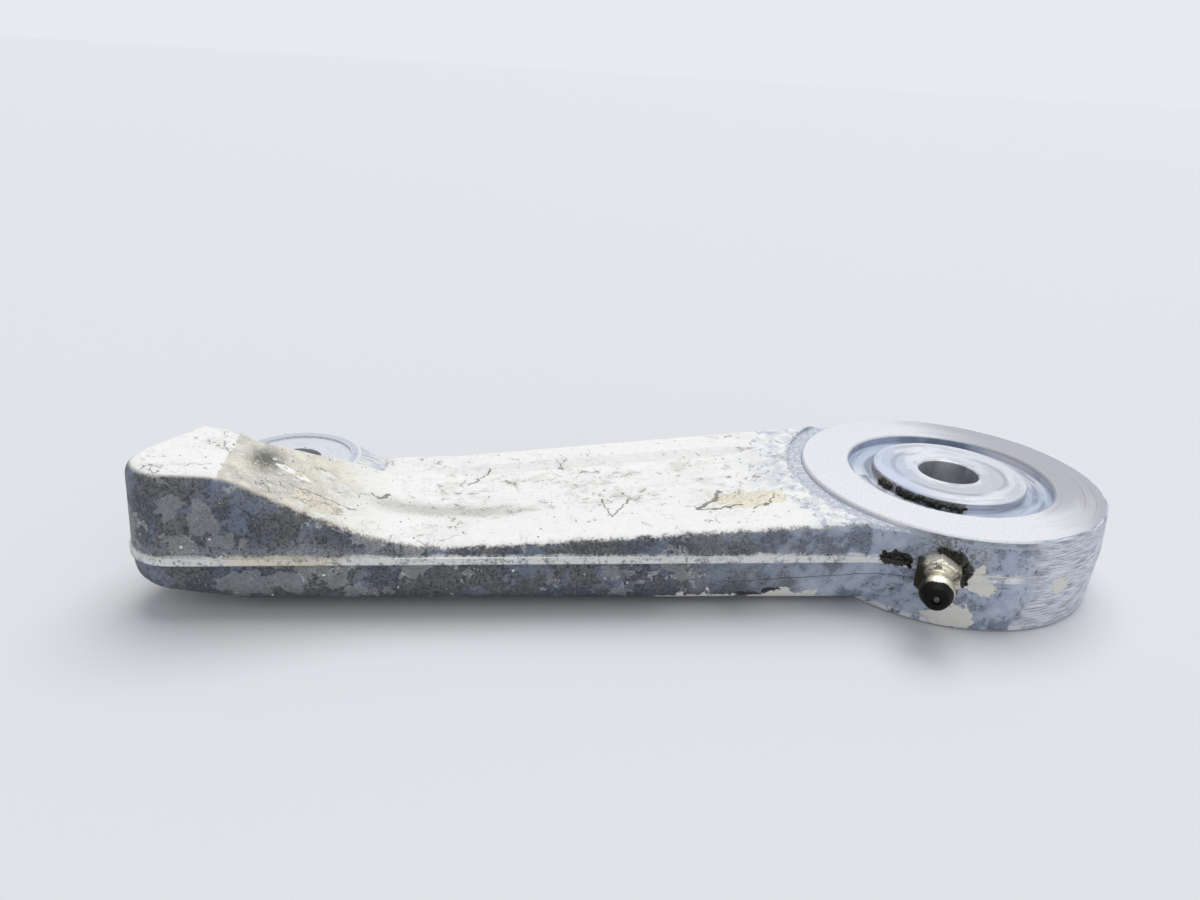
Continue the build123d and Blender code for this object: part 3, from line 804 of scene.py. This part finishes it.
    def _turned(self, f: Fields, colour: Socket) -> tuple[Socket, Scalar, Scalar]:
        """The ring that the facing cutter left round the boss, and the turned lug.

        Args:
            f: The shared fields.
            colour: The colour under them.

        Returns:
            The colour, the mask of the lug's skirt and the mask of the ring.
        """
        g, s = f.graph, self.sizes
        ring = (f.apex + f.stray(medium=3.0, fine=1.0)).rises(s.runout_radius + 0.5, s.runout_radius - 0.1)
        ring = ring * f.z.rises(s.runout_top - 0.9, s.runout_top - 0.4) * (1.0 - f.inside)
        colour = g.mix(ring, colour, g.mix(f.crumbly.rises(0.48, 0.58), self.ring_blue, self.old_paint))
        edge = f.lug + f.stray(medium=3.0)
        spot_wall = f.lug.rises(s.lug_radius - 0.1, s.lug_radius - 0.3) * f.z.rises(*self.zones.spot_wall_z)
        skirt = edge.rises(s.lug_skirt_radius + 0.3, s.lug_skirt_radius - 0.3)
        skirt = skirt * f.up.rises(0.25, 0.45).at_least(spot_wall)
        skirt = skirt * f.z.rises(s.lug_top + 0.5, s.lug_top + 0.2)
        turn = f.y.angle(f.x + s.link_centres)
        rays = g.noise(g.join(turn * 16.0, f.lug * 0.25), 1.0, 3.0, 0.6)
        tone = g.mix(rays.rises(0.40, 0.62), self.lug_skirt, self.old_paint)
        tone = g.mix(f.lug.rises(s.lug_radius + 0.2, s.lug_radius - 0.1), tone, self.lug_ring)
        lip = abs(f.lug - s.lug_radius + 0.3).rises(0.45, 0.15)
        tone = g.mix(lip * 0.7, tone, self.ridge_light)
        clouds = g.mix(f.fine.rises(0.42, 0.64) * 0.5, self.lug_face, self.lug_ring)
        tone = g.mix(f.lug.rises(s.lug_face_radius + 0.3, s.lug_face_radius), tone, clouds)
        return g.mix(skirt, colour, tone), skirt, ring

    def _stuck(self, f: Fields, colour: Socket) -> tuple[Socket, Scalar, Scalar]:
        """Old paint, grease and grime round the fitting, and the crease along the lower side.

        Args:
            f: The shared fields.
            colour: The colour under them.

        Returns:
            The colour, the mask of the old paint and the mask of the grease.
        """
        g, s, w = f.graph, self.sizes, self.zones
        outer = f.apex.rises(s.boss_radius - 2.6, s.boss_radius - 2.2)
        outer = outer * f.z.rises(s.boss_top - 0.3, s.boss_top - 0.8)
        old = self._any(f, self.old_paint_spots, 0.04, f.ripped)
        old = old * outer.at_least(f.x.rises(*w.low_patches_x))
        colour = g.mix(old * 0.95, colour, self.old_paint)
        colour = g.mix(old.rim() * f.fine.rises(0.45, 0.52) * 0.7, colour, self.brown)
        smear = self._any(f, self.grease_spots, 0.04)
        colour = g.mix(smear, colour, self.grease)
        halo = self.fitting_halo.mask(g, f.torn, 0.6) * (1.0 - f.face) * (1.0 - old)
        halo = halo * f.blend(fine=0.5, medium=0.3, grit=0.2).rises(0.46, 0.55)
        colour = g.mix(halo * 0.9, colour, self.speck)
        off = f.z - s.crease_z - (f.x - s.crease_x) * s.crease_slope + f.stray(medium=0.8)
        crease = abs(off).rises(0.16, 0.04) * f.x.rises(*w.crease_start_x) * f.x.rises(*w.crease_end_x)
        crease = crease * f.up.rises(0.3, 0.1) * (1.0 - old)
        return g.mix(crease * 0.7, colour, self.side_dark), old, smear

    def material(self) -> Material:
        """Builds the forging's material.

        Returns:
            The material for the painted forging's slot.
        """
        g = Graph("painted_forging")
        f = Fields(g, self.sizes)
        side, flake, pits = self._sides(f)
        top, lines = self._top(f)
        edge = self._skin_edge(f)
        skin = g.mix(edge, side, top)
        skin = g.mix(edge.rim() * f.gritty.rises(0.46, 0.56) * 0.6, skin, self.crust)
        metal, bare, ground, streaks = self._metal(f)
        colour, skirt, ring = self._turned(f, g.mix(bare, skin, metal))
        colour, old, smear = self._stuck(f, colour)

        shiny = bare.at_least(skirt * 0.7).at_least(ring * 0.5)
        roughness = 0.58 - shiny * 0.15 + f.stray(fine=0.3) - smear * 0.28 - ground * 0.04
        turned = (f.apex * 7.0 + f.fine * 0.7).wave()
        height = f.blend(fine=0.16, medium=0.35, grit=0.07) + flake * 0.14 - pits * 0.05
        height = height + edge * 0.12 - edge * (lines * 0.25)
        carved = turned * 0.004 + streaks * (ground * 0.16 + 0.006) + f.grit * 0.02
        height = height * (1.0 - shiny) + carved * shiny + smear * 0.35 + old * 0.16
        metallic = shiny * 0.5 * (1.0 - smear) * (1.0 - old)
        return g.finish(colour, metallic, roughness.clamped(), height, 0.9)


@dataclass(frozen=True)
class TurnedFinish:
    """Turned steel with fine rings, scuffs and a little rust at the rim."""

    name: str = "bushing_steel"
    steel: Triple = (0.50, 0.52, 0.56)
    pale: Triple = (0.74, 0.75, 0.79)
    dull: Triple = (0.26, 0.27, 0.30)
    bright: Triple = (0.92, 0.92, 0.94)
    blue: Triple = (0.46, 0.53, 0.68)
    rust: Triple = (0.26, 0.15, 0.08)
    rim_radius: float = 16.2
    washer_radius: float = 11.8
    bore_radius: float = 6.4
    bore_glint: float = 1.15
    blue_reflection_x: Pair = (-5.0, -12.0)
    shade_x: Pair = (-2.0, 9.0)
    rust_x: Pair = (-11.0, -15.0)

    def material(self) -> Material:
        """Builds the bushing's material.

        Returns:
            The material for both bushings.
        """
        g = Graph(self.name)
        here = g.millimetres()
        x, y, z = g.split(here)
        radius = (x * x + y * y).root()
        around = y.angle(x)
        swirl = g.noise(g.join(around * 0.9, radius * 0.35, z), 1.0, 5.0, 0.6)
        scuff = g.noise(g.join(around * 2.6, radius * 4.0, z), 1.0, 3.0, 0.6)
        stripes = g.noise(g.join(around * 2.2, z * 0.1), 1.0)
        fine = g.noise(here, 2.2, 4.0, 0.6)
        colour = g.mix(swirl.rises(0.42, 0.58), self.pale, self.steel)
        colour = g.mix(scuff.rises(0.54, 0.68) * 0.4, colour, self.dull)
        off = swirl - NOISE_MIDDLE
        # Painted reflection: blue towards the left of the bushing, and painted shade towards its right.
        colour = g.mix((x + off * 12.0).rises(*self.blue_reflection_x) * 0.6, colour, self.blue)
        colour = g.mix((x + y * 0.2 + off * 14.0).rises(*self.shade_x) * 0.35, colour, self.steel)
        worn = abs(radius - self.washer_radius).rises(0.9, 0.2) * swirl.rises(0.42, 0.55)
        colour = g.mix(worn * 0.45, colour, self.dull)
        glint = abs(around - self.bore_glint).rises(0.5, 0.1)
        lit = 0.3 + stripes.rises(0.36, 0.62) * 0.35 + glint * 0.35
        bore = radius.rises(self.bore_radius + 0.3, self.bore_radius + 0.1)
        colour = g.mix(bore, colour, g.mix(lit, self.dull, self.bright))
        rim = radius.rises(self.rim_radius - 0.35, self.rim_radius - 0.1) * x.rises(*self.rust_x)
        colour = g.mix(rim * fine.rises(0.36, 0.56) * 0.8, colour, self.rust)
        rings = (radius * 8.0 + fine).wave()
        height = rings * 0.006 + swirl * 0.03 + worn * -0.03 + fine * 0.008
        return g.finish(colour, 0.82 - rim * 0.4, 0.30 + swirl * 0.16, height)


@dataclass(frozen=True)
class FittingFinish:
    """Zinc plated steel with a yellow cast and a painted highlight on top, darkened by painted shade on one
    side, black with grease and painted shadow on that flank, and black with grease at the tip.
    """

    name: str = "plated_steel"
    plate: Triple = (0.56, 0.52, 0.42)
    pale: Triple = (0.92, 0.88, 0.74)
    dull: Triple = (0.16, 0.14, 0.11)
    grease: Triple = (0.004, 0.004, 0.003)
    angle: float = 20.0
    hex_end: float = 35.2
    tip_start: float = 41.0
    lit_top_z: Pair = (2.0, 3.2)
    shade_beside: Pair = (0.5, -2.5)
    grease_and_shadow_flank: Pair = (0.15, 0.95)
    specular: float = 0.1

    def material(self) -> Material:
        """Builds the fitting's material.

        Returns:
            The material for the fitting's body.
        """
        g = Graph(self.name)
        here = g.millimetres()
        x, y, z = g.split(here)
        turn = radians(self.angle)
        along = x * -sin(turn) + y * -cos(turn)
        beside = x * cos(turn) + y * -sin(turn)
        medium = g.noise(here, 0.45)
        fine = g.noise(here, 2.6, 4.0, 0.6)
        off = medium - NOISE_MIDDLE
        colour = g.mix(medium.rises(0.50, 0.70) * 0.5, self.plate, self.dull)
        # Painted shade: one side of the body is darker.
        colour = g.mix((beside + off * 2.0).rises(*self.shade_beside) * 0.6, colour, self.dull)
        # Painted highlight: the top facets are pale.
        colour = g.mix(z.rises(*self.lit_top_z) * fine.rises(0.30, 0.45), colour, self.pale)
        tip = (along + off * 1.2).rises(self.tip_start, self.tip_start + 0.5)
        # The flank is black with grease and with painted shadow.
        flank_grease_and_shadow = (beside * -0.45 - z * 0.22 + off * 2.0).rises(*self.grease_and_shadow_flank)
        neck = abs(along - self.hex_end - 0.6).rises(0.9, 0.3) * (medium + fine).rises(0.85, 1.05)
        grease_and_shadow = tip.at_least(flank_grease_and_shadow * 0.9).at_least(neck * 0.8)
        colour = g.mix(grease_and_shadow, colour, self.grease)
        roughness = 0.30 + fine * 0.2 + grease_and_shadow * 0.1
        height = fine * 0.03 + medium * 0.04
        return g.finish(colour, 0.8 - grease_and_shadow * 0.8, roughness, height, specular=self.specular)


@dataclass(frozen=True)
class PolishedFinish:
    """Ball and spring steel, dulled by old grease."""

    name: str = "ball_steel"
    steel: Triple = (0.07, 0.075, 0.07)

    def material(self) -> Material:
        """Builds the material for the ball and the spring."""
        g = Graph(self.name)
        fine = g.noise(g.millimetres(), 4.0)
        return g.finish(self.steel, 0.9, 0.16 + fine * 0.14, fine * 0.01)


@dataclass(frozen=True)
class GreaseFinish:
    """Old black grease with grit in it, whose olive specks are grit and painted glints."""

    name: str = "old_grease"
    black: Triple = (0.004, 0.004, 0.003)
    grit: Triple = (0.30, 0.27, 0.11)
    specular: float = 0.3

    def material(self) -> Material:
        """Builds the grease's material."""
        g = Graph(self.name)
        fine = g.noise(g.millimetres(), 3.5, 4.0, 0.6)
        # The olive specks are grit and painted glints.
        colour = g.mix(fine.rises(0.60, 0.68), self.black, self.grit)
        return g.finish(colour, 0.0, 0.22 + fine * 0.3, fine * 0.2, specular=self.specular)


@dataclass(frozen=True)
class ChipFinish:
    """Loose flakes of paint and crumbs of dirt, one tone to a flake."""

    name: str
    light: Triple
    dark: Triple

    def material(self) -> Material:
        """Builds the flakes' material."""
        g = Graph(self.name)
        here = g.millimetres()
        colour = g.mix(g.noise(here, 0.6, 2.0).rises(0.40, 0.60), self.light, self.dark)
        return g.finish(colour, 0.0, 0.65, g.noise(here, 4.0, 3.0, 0.6) * 0.05)


@dataclass(frozen=True)
class FloorFinish:
    """Plain pale studio floor."""

    name: str = "studio_floor"
    pale: Triple = (0.74, 0.75, 0.77)

    def material(self) -> Material:
        """Builds the floor's material."""
        return Graph(self.name).finish(self.pale, 0.0, 0.8)


class Tree(Nodes):
    """A geometry node tree with named inputs, which ends in plain faces of one material."""

    def __init__(self, name: str, sizes: dict[str, Union[float, int]]) -> None:
        """Starts a tree with its geometry socket and its sizes.

        Args:
            name: The tree's name.
            sizes: Named numbers that the tree takes as inputs.
        """
        super().__init__(bpy.data.node_groups.new(name, "GeometryNodeTree"))
        sides = self.tree.interface
        for side in ("INPUT", "OUTPUT"):
            sides.new_socket("Geometry", in_out=side, socket_type="NodeSocketGeometry")
        self.values: dict[str, Union[float, int]] = {}
        for label, value in sizes.items():
            kind = "NodeSocketInt" if isinstance(value, int) else "NodeSocketFloat"
            made = sides.new_socket(label, in_out="INPUT", socket_type=kind)
            self.values[made.identifier] = value
        self.given = self.node("NodeGroupInput").outputs

    def random(self, low: Union[float, Triple, Socket], high: Union[float, Triple, Socket],
               seed: Union[int, Socket]) -> Socket:
        """A random value for each point, which is a vector where the ends are vectors.

        Args:
            low: The lowest value.
            high: The highest value.
            seed: The seed of the draw.

        Returns:
            The value.
        """
        kind, first, key = ("FLOAT_VECTOR", 0, 0) if isinstance(low, tuple) else ("FLOAT", 2, 1)
        inputs = {first: low, first + 1: high, "Seed": seed}
        return self.out("FunctionNodeRandomValue", inputs, key, data_type=kind)

    def both(self, first: Socket, second: Socket) -> Socket:
        """True where two conditions hold."""
        return self.out("FunctionNodeBooleanMath", {0: first, 1: second}, operation="AND")

    def between(self, value: Socket, ends: Pair) -> Socket:
        """True where a value lies between two ends."""
        over = self.out("FunctionNodeCompare", {0: value, 1: ends[0]}, operation="GREATER_THAN")
        under = self.out("FunctionNodeCompare", {0: value, 1: ends[1]}, operation="LESS_THAN")
        return self.both(over, under)

    def close(self, geometry: Socket, material: Material) -> None:
        """Ends the tree in realized instances of one material.

        Args:
            geometry: What the tree has made.
            material: The finish of all of it.
        """
        real = self.out("GeometryNodeRealizeInstances", {"Geometry": geometry})
        finish = self.out("GeometryNodeSetMaterial", {"Geometry": real, "Material": material})
        self.node("NodeGroupOutput", {0: finish})

    def run(self, name: str, source: Mesh, material: Material) -> Object:
        """Runs the tree on a mesh and keeps the result as a plain object.

        Args:
            name: The new piece's name.
            source: The mesh that the tree starts from.
            material: The finish of the piece.

        Returns:
            The piece, linked to the scene.
        """
        carrier = bpy.data.objects.new(name + "_source", source)
        bpy.context.scene.collection.objects.link(carrier)
        modifier = carrier.modifiers.new("tree", "NODES")
        modifier.node_group = self.tree
        for identifier, value in self.values.items():
            modifier[identifier] = value
        graph = bpy.context.evaluated_depsgraph_get()
        mesh = bpy.data.meshes.new_from_object(carrier.evaluated_get(graph), depsgraph=graph)
        carrier.modifiers.remove(modifier)
        bpy.data.objects.remove(carrier)
        mesh.name = name
        if not mesh.materials:
            mesh.materials.append(material)
        piece = bpy.data.objects.new(name, mesh)
        bpy.context.scene.collection.objects.link(piece)
        return piece


def dress(node: Object, material: Material) -> None:
    """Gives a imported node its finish.

    Args:
        node: The node's object.
        material: The finish for all its slots.
    """
    for slot in node.material_slots:
        slot.material = material
    log.info("dressed %s with %s", node.name, material.name)


def settle(piece: Object) -> None:
    """Makes a new piece ride on the link.

    Args:
        piece: The piece.
    """
    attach(piece, "link")
    log.info("%s has %d faces", piece.name, len(piece.data.polygons))


def merged_copy(node: Object) -> Mesh:
    """A copy of a node's mesh with its loose triangles joined.

    Args:
        node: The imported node, which stays as it is.

    Returns:
        The copy.
    """
    mesh = node.data.copy()
    work = bmesh.new()
    work.from_mesh(mesh)
    bmesh.ops.remove_doubles(work, verts=work.verts, dist=0.001 * MM)
    work.to_mesh(mesh)
    work.free()
    mesh.materials.clear()
    return mesh


@dataclass
class LinkForging:
    """The painted forging."""

    node: str = "link_forging"
    finish: ForgingFinish = field(default_factory=ForgingFinish)

    def build(self, nodes: Packed) -> None:
        """Dresses the forging."""
        dress(nodes[self.node], self.finish.material())


@dataclass
class SurfaceFlakes:
    """Thin flakes scattered over part of the forging, each a small ragged plate that lies on it."""

    name: str
    finish: ChipFinish
    density: float
    smallest: float
    largest: float
    thickness: float
    seed: int
    face_up: Pair
    x_range: Pair
    sides: int = 7
    slimmest: float = 0.35
    tilt: float = 0.10
    tear_scale: float = 900.0
    slot: str = "painted_forging"

    def build(self, surface: Mesh) -> None:
        """Scatters the flakes over a copy of the forging's surface.

        Args:
            surface: The merged copy.
        """
        sizes = {"Density": self.density / MM**2, "Smallest": self.smallest * MM,
                 "Largest": self.largest * MM, "Thickness": self.thickness * MM, "Seed": self.seed}
        tree = Tree(self.name, sizes)
        x = tree.out("ShaderNodeSeparateXYZ", {0: tree.out("GeometryNodeInputPosition")}, "X")
        up = tree.out("ShaderNodeSeparateXYZ", {0: tree.out("GeometryNodeInputNormal")}, "Z")
        here = tree.between(x, tuple(end * MM for end in self.x_range))
        chosen = tree.both(here, tree.between(up, self.face_up))
        points = tree.node("GeometryNodeDistributePointsOnFaces",
                           {"Mesh": tree.given["Geometry"], "Selection": chosen,
                            "Density": tree.given["Density"], "Seed": tree.given["Seed"]})
        plate = tree.out("GeometryNodeMeshCylinder", {"Vertices": self.sides, "Radius": 1.0, "Depth": 1.0})
        width = tree.random(tree.given["Smallest"], tree.given["Largest"], tree.given["Seed"])
        slim = tree.random(self.slimmest, 1.0, self.seed + 1)
        narrow = tree.out("ShaderNodeMath", {0: width, 1: slim}, operation="MULTIPLY")
        scale = tree.out("ShaderNodeCombineXYZ", {0: width, 1: narrow, 2: tree.given["Thickness"]})
        yaw = tree.random((-self.tilt, -self.tilt, -pi), (self.tilt, self.tilt, pi), self.seed + 2)
        spin = tree.out("FunctionNodeEulerToRotation", {0: yaw})
        turned = tree.out("FunctionNodeRotateRotation", {0: points.outputs["Rotation"], 1: spin},
                          rotation_space="LOCAL")
        plates = tree.out("GeometryNodeInstanceOnPoints",
                          {"Points": points.outputs["Points"], "Instance": plate, "Rotation": turned,
                           "Scale": scale})
        real = tree.out("GeometryNodeRealizeInstances", {"Geometry": plates})
        push = tree.push({"Scale": self.tear_scale, "Detail": 1.0}, self.smallest * MM)
        material = self.finish.material()
        tree.close(tree.out("GeometryNodeSetPosition", {"Geometry": real, "Offset": push}), material)
        settle(tree.run(self.name, surface.copy(), material))


@dataclass
class LooseFlakes:
    """Crumbs of dirt and chips of paint that lie on the forging."""

    dirt: ChipFinish = ChipFinish("dirt_crumbs", (0.09, 0.085, 0.075), (0.02, 0.02, 0.02))
    paint: ChipFinish = ChipFinish("paint_chips", (0.82, 0.81, 0.78), (0.55, 0.52, 0.45))

    def build(self, nodes: Packed) -> None:
        """Scatters the three layers of flakes over the forging."""
        surface = merged_copy(nodes["link_forging"])
        for flakes in (
            SurfaceFlakes("top_crumbs", self.dirt, density=0.030, smallest=0.04, largest=0.22,
                          thickness=0.08, seed=3, face_up=(0.85, 1.1), x_range=(-148.0, -33.0)),
            SurfaceFlakes("top_chips", self.paint, density=0.010, smallest=0.15, largest=0.75,
                          thickness=0.12, seed=4, face_up=(0.80, 1.1), x_range=(-146.0, -33.0)),
            SurfaceFlakes("side_chips", self.paint, density=0.016, smallest=0.06, largest=0.34,
                          thickness=0.08, seed=5, face_up=(-0.5, 0.30), x_range=(-155.0, -22.0)),
        ):
            flakes.build(surface)


@dataclass
class GreaseLumps:
    """Black grease pressed into lumps along a path, in one closed mass."""

    name: str
    path: tuple[Triple, ...]
    smallest: float
    largest: float
    count: int
    spread: float
    seed: int
    voxel: float = 0.16
    slot: str = "plated_steel"

    def build(self) -> None:
        """Places the lumps along the path and melts them together."""
        mesh = bpy.data.meshes.new(self.name + "_path")
        edges = [(index, index + 1) for index in range(len(self.path) - 1)]
        mesh.from_pydata([Vector(point) * MM for point in self.path], edges, [])
        sizes = {"Count": self.count, "Smallest": self.smallest * MM, "Largest": self.largest * MM,
                 "Spread": self.spread * MM, "Voxel": self.voxel * MM, "Seed": self.seed}
        tree = Tree(self.name, sizes)
        line = tree.out("GeometryNodeMeshToCurve", {0: tree.given["Geometry"]})
        along = {"Curve": line, "Count": tree.given["Count"]}
        points = tree.out("GeometryNodeCurveToPoints", along, mode="COUNT")
        stray = tree.random((-1.0, -1.0, -1.0), (1.0, 1.0, 1.0), tree.given["Seed"])
        offset = tree.vector("SCALE", stray, scale=tree.given["Spread"])
        moved = tree.out("GeometryNodeSetPosition", {"Geometry": points, "Offset": offset})
        ball = tree.out("GeometryNodeMeshIcoSphere", {"Radius": 1.0, "Subdivisions": 2})
        size = tree.random(tree.given["Smallest"], tree.given["Largest"], self.seed + 1)
        lumps = tree.out("GeometryNodeInstanceOnPoints", {"Points": moved, "Instance": ball, "Scale": size})
        real = tree.out("GeometryNodeRealizeInstances", {"Geometry": lumps})
        voxel = {"Voxel Size": tree.given["Voxel"]}
        mass = tree.out("GeometryNodeMeshToVolume", {"Mesh": real, **voxel}, resolution_mode="VOXEL_SIZE")
        skin = tree.out("GeometryNodeVolumeToMesh", {"Volume": mass, **voxel}, resolution_mode="VOXEL_SIZE")
        material = GreaseFinish().material()
        tree.close(tree.out("GeometryNodeSetShadeSmooth", {0: skin}), material)
        settle(tree.run(self.name, mesh, material))


@dataclass
class ApexBushings:
    """The two flanged bushings in the boss, with grease along the rim of the upper one."""

    nodes: tuple[str, str] = ("upper_bushing", "lower_bushing")
    finish: TurnedFinish = field(default_factory=TurnedFinish)
    rim_radius: float = 16.7
    rim_height: float = 7.0
    grease_arcs: tuple[Pair, ...] = ((-165.0, -155.0), (-148.0, -98.0))
    lumps_per_degree: float = 1.1
    first_seed: int = 11

    def _arc(self, start: float, end: float, steps: int = 12) -> tuple[Triple, ...]:
        """Points along the rim from one angle to another, in degrees."""
        turns = [radians(start + (end - start) * step / steps) for step in range(steps + 1)]
        radius = self.rim_radius
        return tuple((radius * cos(turn), radius * sin(turn), self.rim_height) for turn in turns)

    def build(self, nodes: Packed) -> None:
        """Dresses both bushings and lays the grease.

        Args:
            nodes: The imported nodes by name.
        """
        material = self.finish.material()
        for name in self.nodes:
            dress(nodes[name], material)
        for index, (start, end) in enumerate(self.grease_arcs):
            GreaseLumps(f"rim_grease_{index + 1}", self._arc(start, end), smallest=0.28, largest=0.72,
                        count=round((end - start) * self.lumps_per_degree), spread=0.42,
                        seed=self.first_seed + index).build()


@dataclass
class GreaseFitting:
    """The fitting's body, ball and spring, with grease on the forging round its seat."""

    body: str = "grease_fitting"
    ball: str = "check_ball"
    spring: str = "ball_spring"
    joint: str = "check_ball_lift"
    angle: float = 20.0
    spring_seat: float = 33.876
    spring_length: float = 7.537
    ball_lift: float = 0.8
    finish: FittingFinish = field(default_factory=FittingFinish)
    inner_finish: PolishedFinish = field(default_factory=PolishedFinish)
    left_smear: tuple[Triple, ...] = ((-20.6, -26.2, 1.2), (-18.6, -26.9, 0.8), (-16.0, -28.4, -0.2))
    right_smear: tuple[Triple, ...] = (
        (-11.6, -30.1, 4.4), (-8.6, -30.9, 3.9), (-6.4, -31.4, 1.9), (-6.2, -31.4, -1.4))

    def _spring(self, node: Object, material: Material) -> None:
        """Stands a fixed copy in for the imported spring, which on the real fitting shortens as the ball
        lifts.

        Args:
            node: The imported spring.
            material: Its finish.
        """
        mesh = merged_copy(node)
        mesh.materials.append(material)
        piece = bpy.data.objects.new("ball_spring_coil", mesh)
        bpy.context.scene.collection.objects.link(piece)
        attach(piece, "link")
        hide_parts(self.spring)
        inward = Vector((sin(radians(self.angle)), cos(radians(self.angle)), 0.0))
        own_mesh(piece)
        log.info("%s shortens with %s", piece.name, self.joint)

    def build(self, nodes: Packed) -> None:
        """Dresses the fitting and what is inside it, and lays the grease.

        Args:
            nodes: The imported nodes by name.
        """
        dress(nodes[self.body], self.finish.material())
        material = self.inner_finish.material()
        dress(nodes[self.ball], material)
        self._spring(nodes[self.spring], material)
        for name, path, count, seed in (("seat_grease_left", self.left_smear, 26, 21),
                                        ("seat_grease_right", self.right_smear, 34, 22)):
            GreaseLumps(name, path, smallest=0.25, largest=0.75, count=count, spread=0.6, seed=seed).build()


@dataclass
class Studio:
    """Floor, lights and the photograph's camera, in millimetres and degrees."""

    camera_place: Triple = (-79.97, -181.31, 85.27)
    camera_turn: Triple = (67.063, -3.233, 0.408)
    lens: float = 27.0
    sensor: float = 36.0
    nearest: float = 5.0
    floor_z: float = -12.2
    floor_size: float = 60000.0
    key_from: Triple = (0.15, 0.35, 1.0)
    key_spread: float = 50.0
    key_strength: float = 1.75
    fill_from: Triple = (0.25, -1.0, 0.55)
    fill_spread: float = 70.0
    fill_strength: float = 0.55
    sky: Triple = (0.93, 0.96, 1.0)
    sky_strength: float = 0.42
    seen_sky: float = 0.86

    def _stand(self, name: str, data: bpy.types.ID) -> Object:
        """Puts a mesh, a light or a camera into the scene under a name."""
        made = bpy.data.objects.new(name, data)
        bpy.context.scene.collection.objects.link(made)
        return made

    def _sun(self, name: str, source: Triple, spread: float, strength: float) -> None:
        """Makes a wide soft light that comes from one direction.

        Args:
            name: The light's name.
            source: The direction that the light comes from.
            spread: Its width in degrees.
            strength: Its strength.
        """
        lamp = bpy.data.lights.new(name, "SUN")
        lamp.angle = radians(spread)
        lamp.energy = strength
        self._stand(name, lamp).rotation_euler = Vector(source).to_track_quat("Z", "Y").to_euler()

    def _world(self) -> bpy.types.World:
        """Makes the soft sky, which the camera and glossy surfaces see as a pale backdrop.

        Returns:
            The world.
        """
        world = bpy.data.worlds.new("studio")
        world.use_nodes = True
        sky = Nodes(world.node_tree)
        rays = sky.node("ShaderNodeLightPath").outputs
        seeing = {0: rays["Is Camera Ray"], 1: rays["Is Glossy Ray"]}
        seen = sky.out("ShaderNodeMath", seeing, operation="MAXIMUM")
        levels = {"Value": seen, "To Min": self.sky_strength, "To Max": self.seen_sky}
        back = sky.tree.nodes["Background"]
        sky.tree.links.new(sky.out("ShaderNodeMapRange", levels), back.inputs["Strength"])
        back.inputs["Color"].default_value = (*self.sky, 1.0)
        return world

    def _floor(self) -> None:
        """Makes the floor that the part lies on."""
        half = self.floor_size / 2 * MM
        mesh = bpy.data.meshes.new("floor")
        corners = [(-half, -half), (half, -half), (half, half), (-half, half)]
        mesh.from_pydata([(x, y, self.floor_z * MM) for x, y in corners], [], [(0, 1, 2, 3)])
        floor = self._stand("floor", mesh)
        floor.data.materials.append(FloorFinish().material())

    def _camera(self) -> Object:
        """Makes the camera at the photograph's place.

        Returns:
            The camera.
        """
        lens = bpy.data.cameras.new("photo_camera")
        lens.lens = self.lens
        lens.sensor_width = self.sensor
        lens.clip_start = self.nearest * MM
        camera = self._stand("photo_camera", lens)
        camera.location = Vector(self.camera_place) * MM
        camera.rotation_euler = tuple(radians(turn) for turn in self.camera_turn)
        return camera

    def build(self) -> None:
        """Makes the floor, the lights and the camera."""
        self._floor()
        self._sun("key", self.key_from, self.key_spread, self.key_strength)
        self._sun("fill", self.fill_from, self.fill_spread, self.fill_strength)
        scene = bpy.context.scene
        scene.world = self._world()
        scene.view_settings.view_transform = "Standard"
        scene.camera = self._camera()


def main() -> None:
    logging.basicConfig(level=logging.INFO, format="%(name)s: %(message)s")
    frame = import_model()
    nodes = frame["nodes"]
    for assembly in (LinkForging(), ApexBushings(), GreaseFitting(), LooseFlakes()):
        assembly.build(nodes)
    Studio().build()


if __name__ == "__main__":
    main()
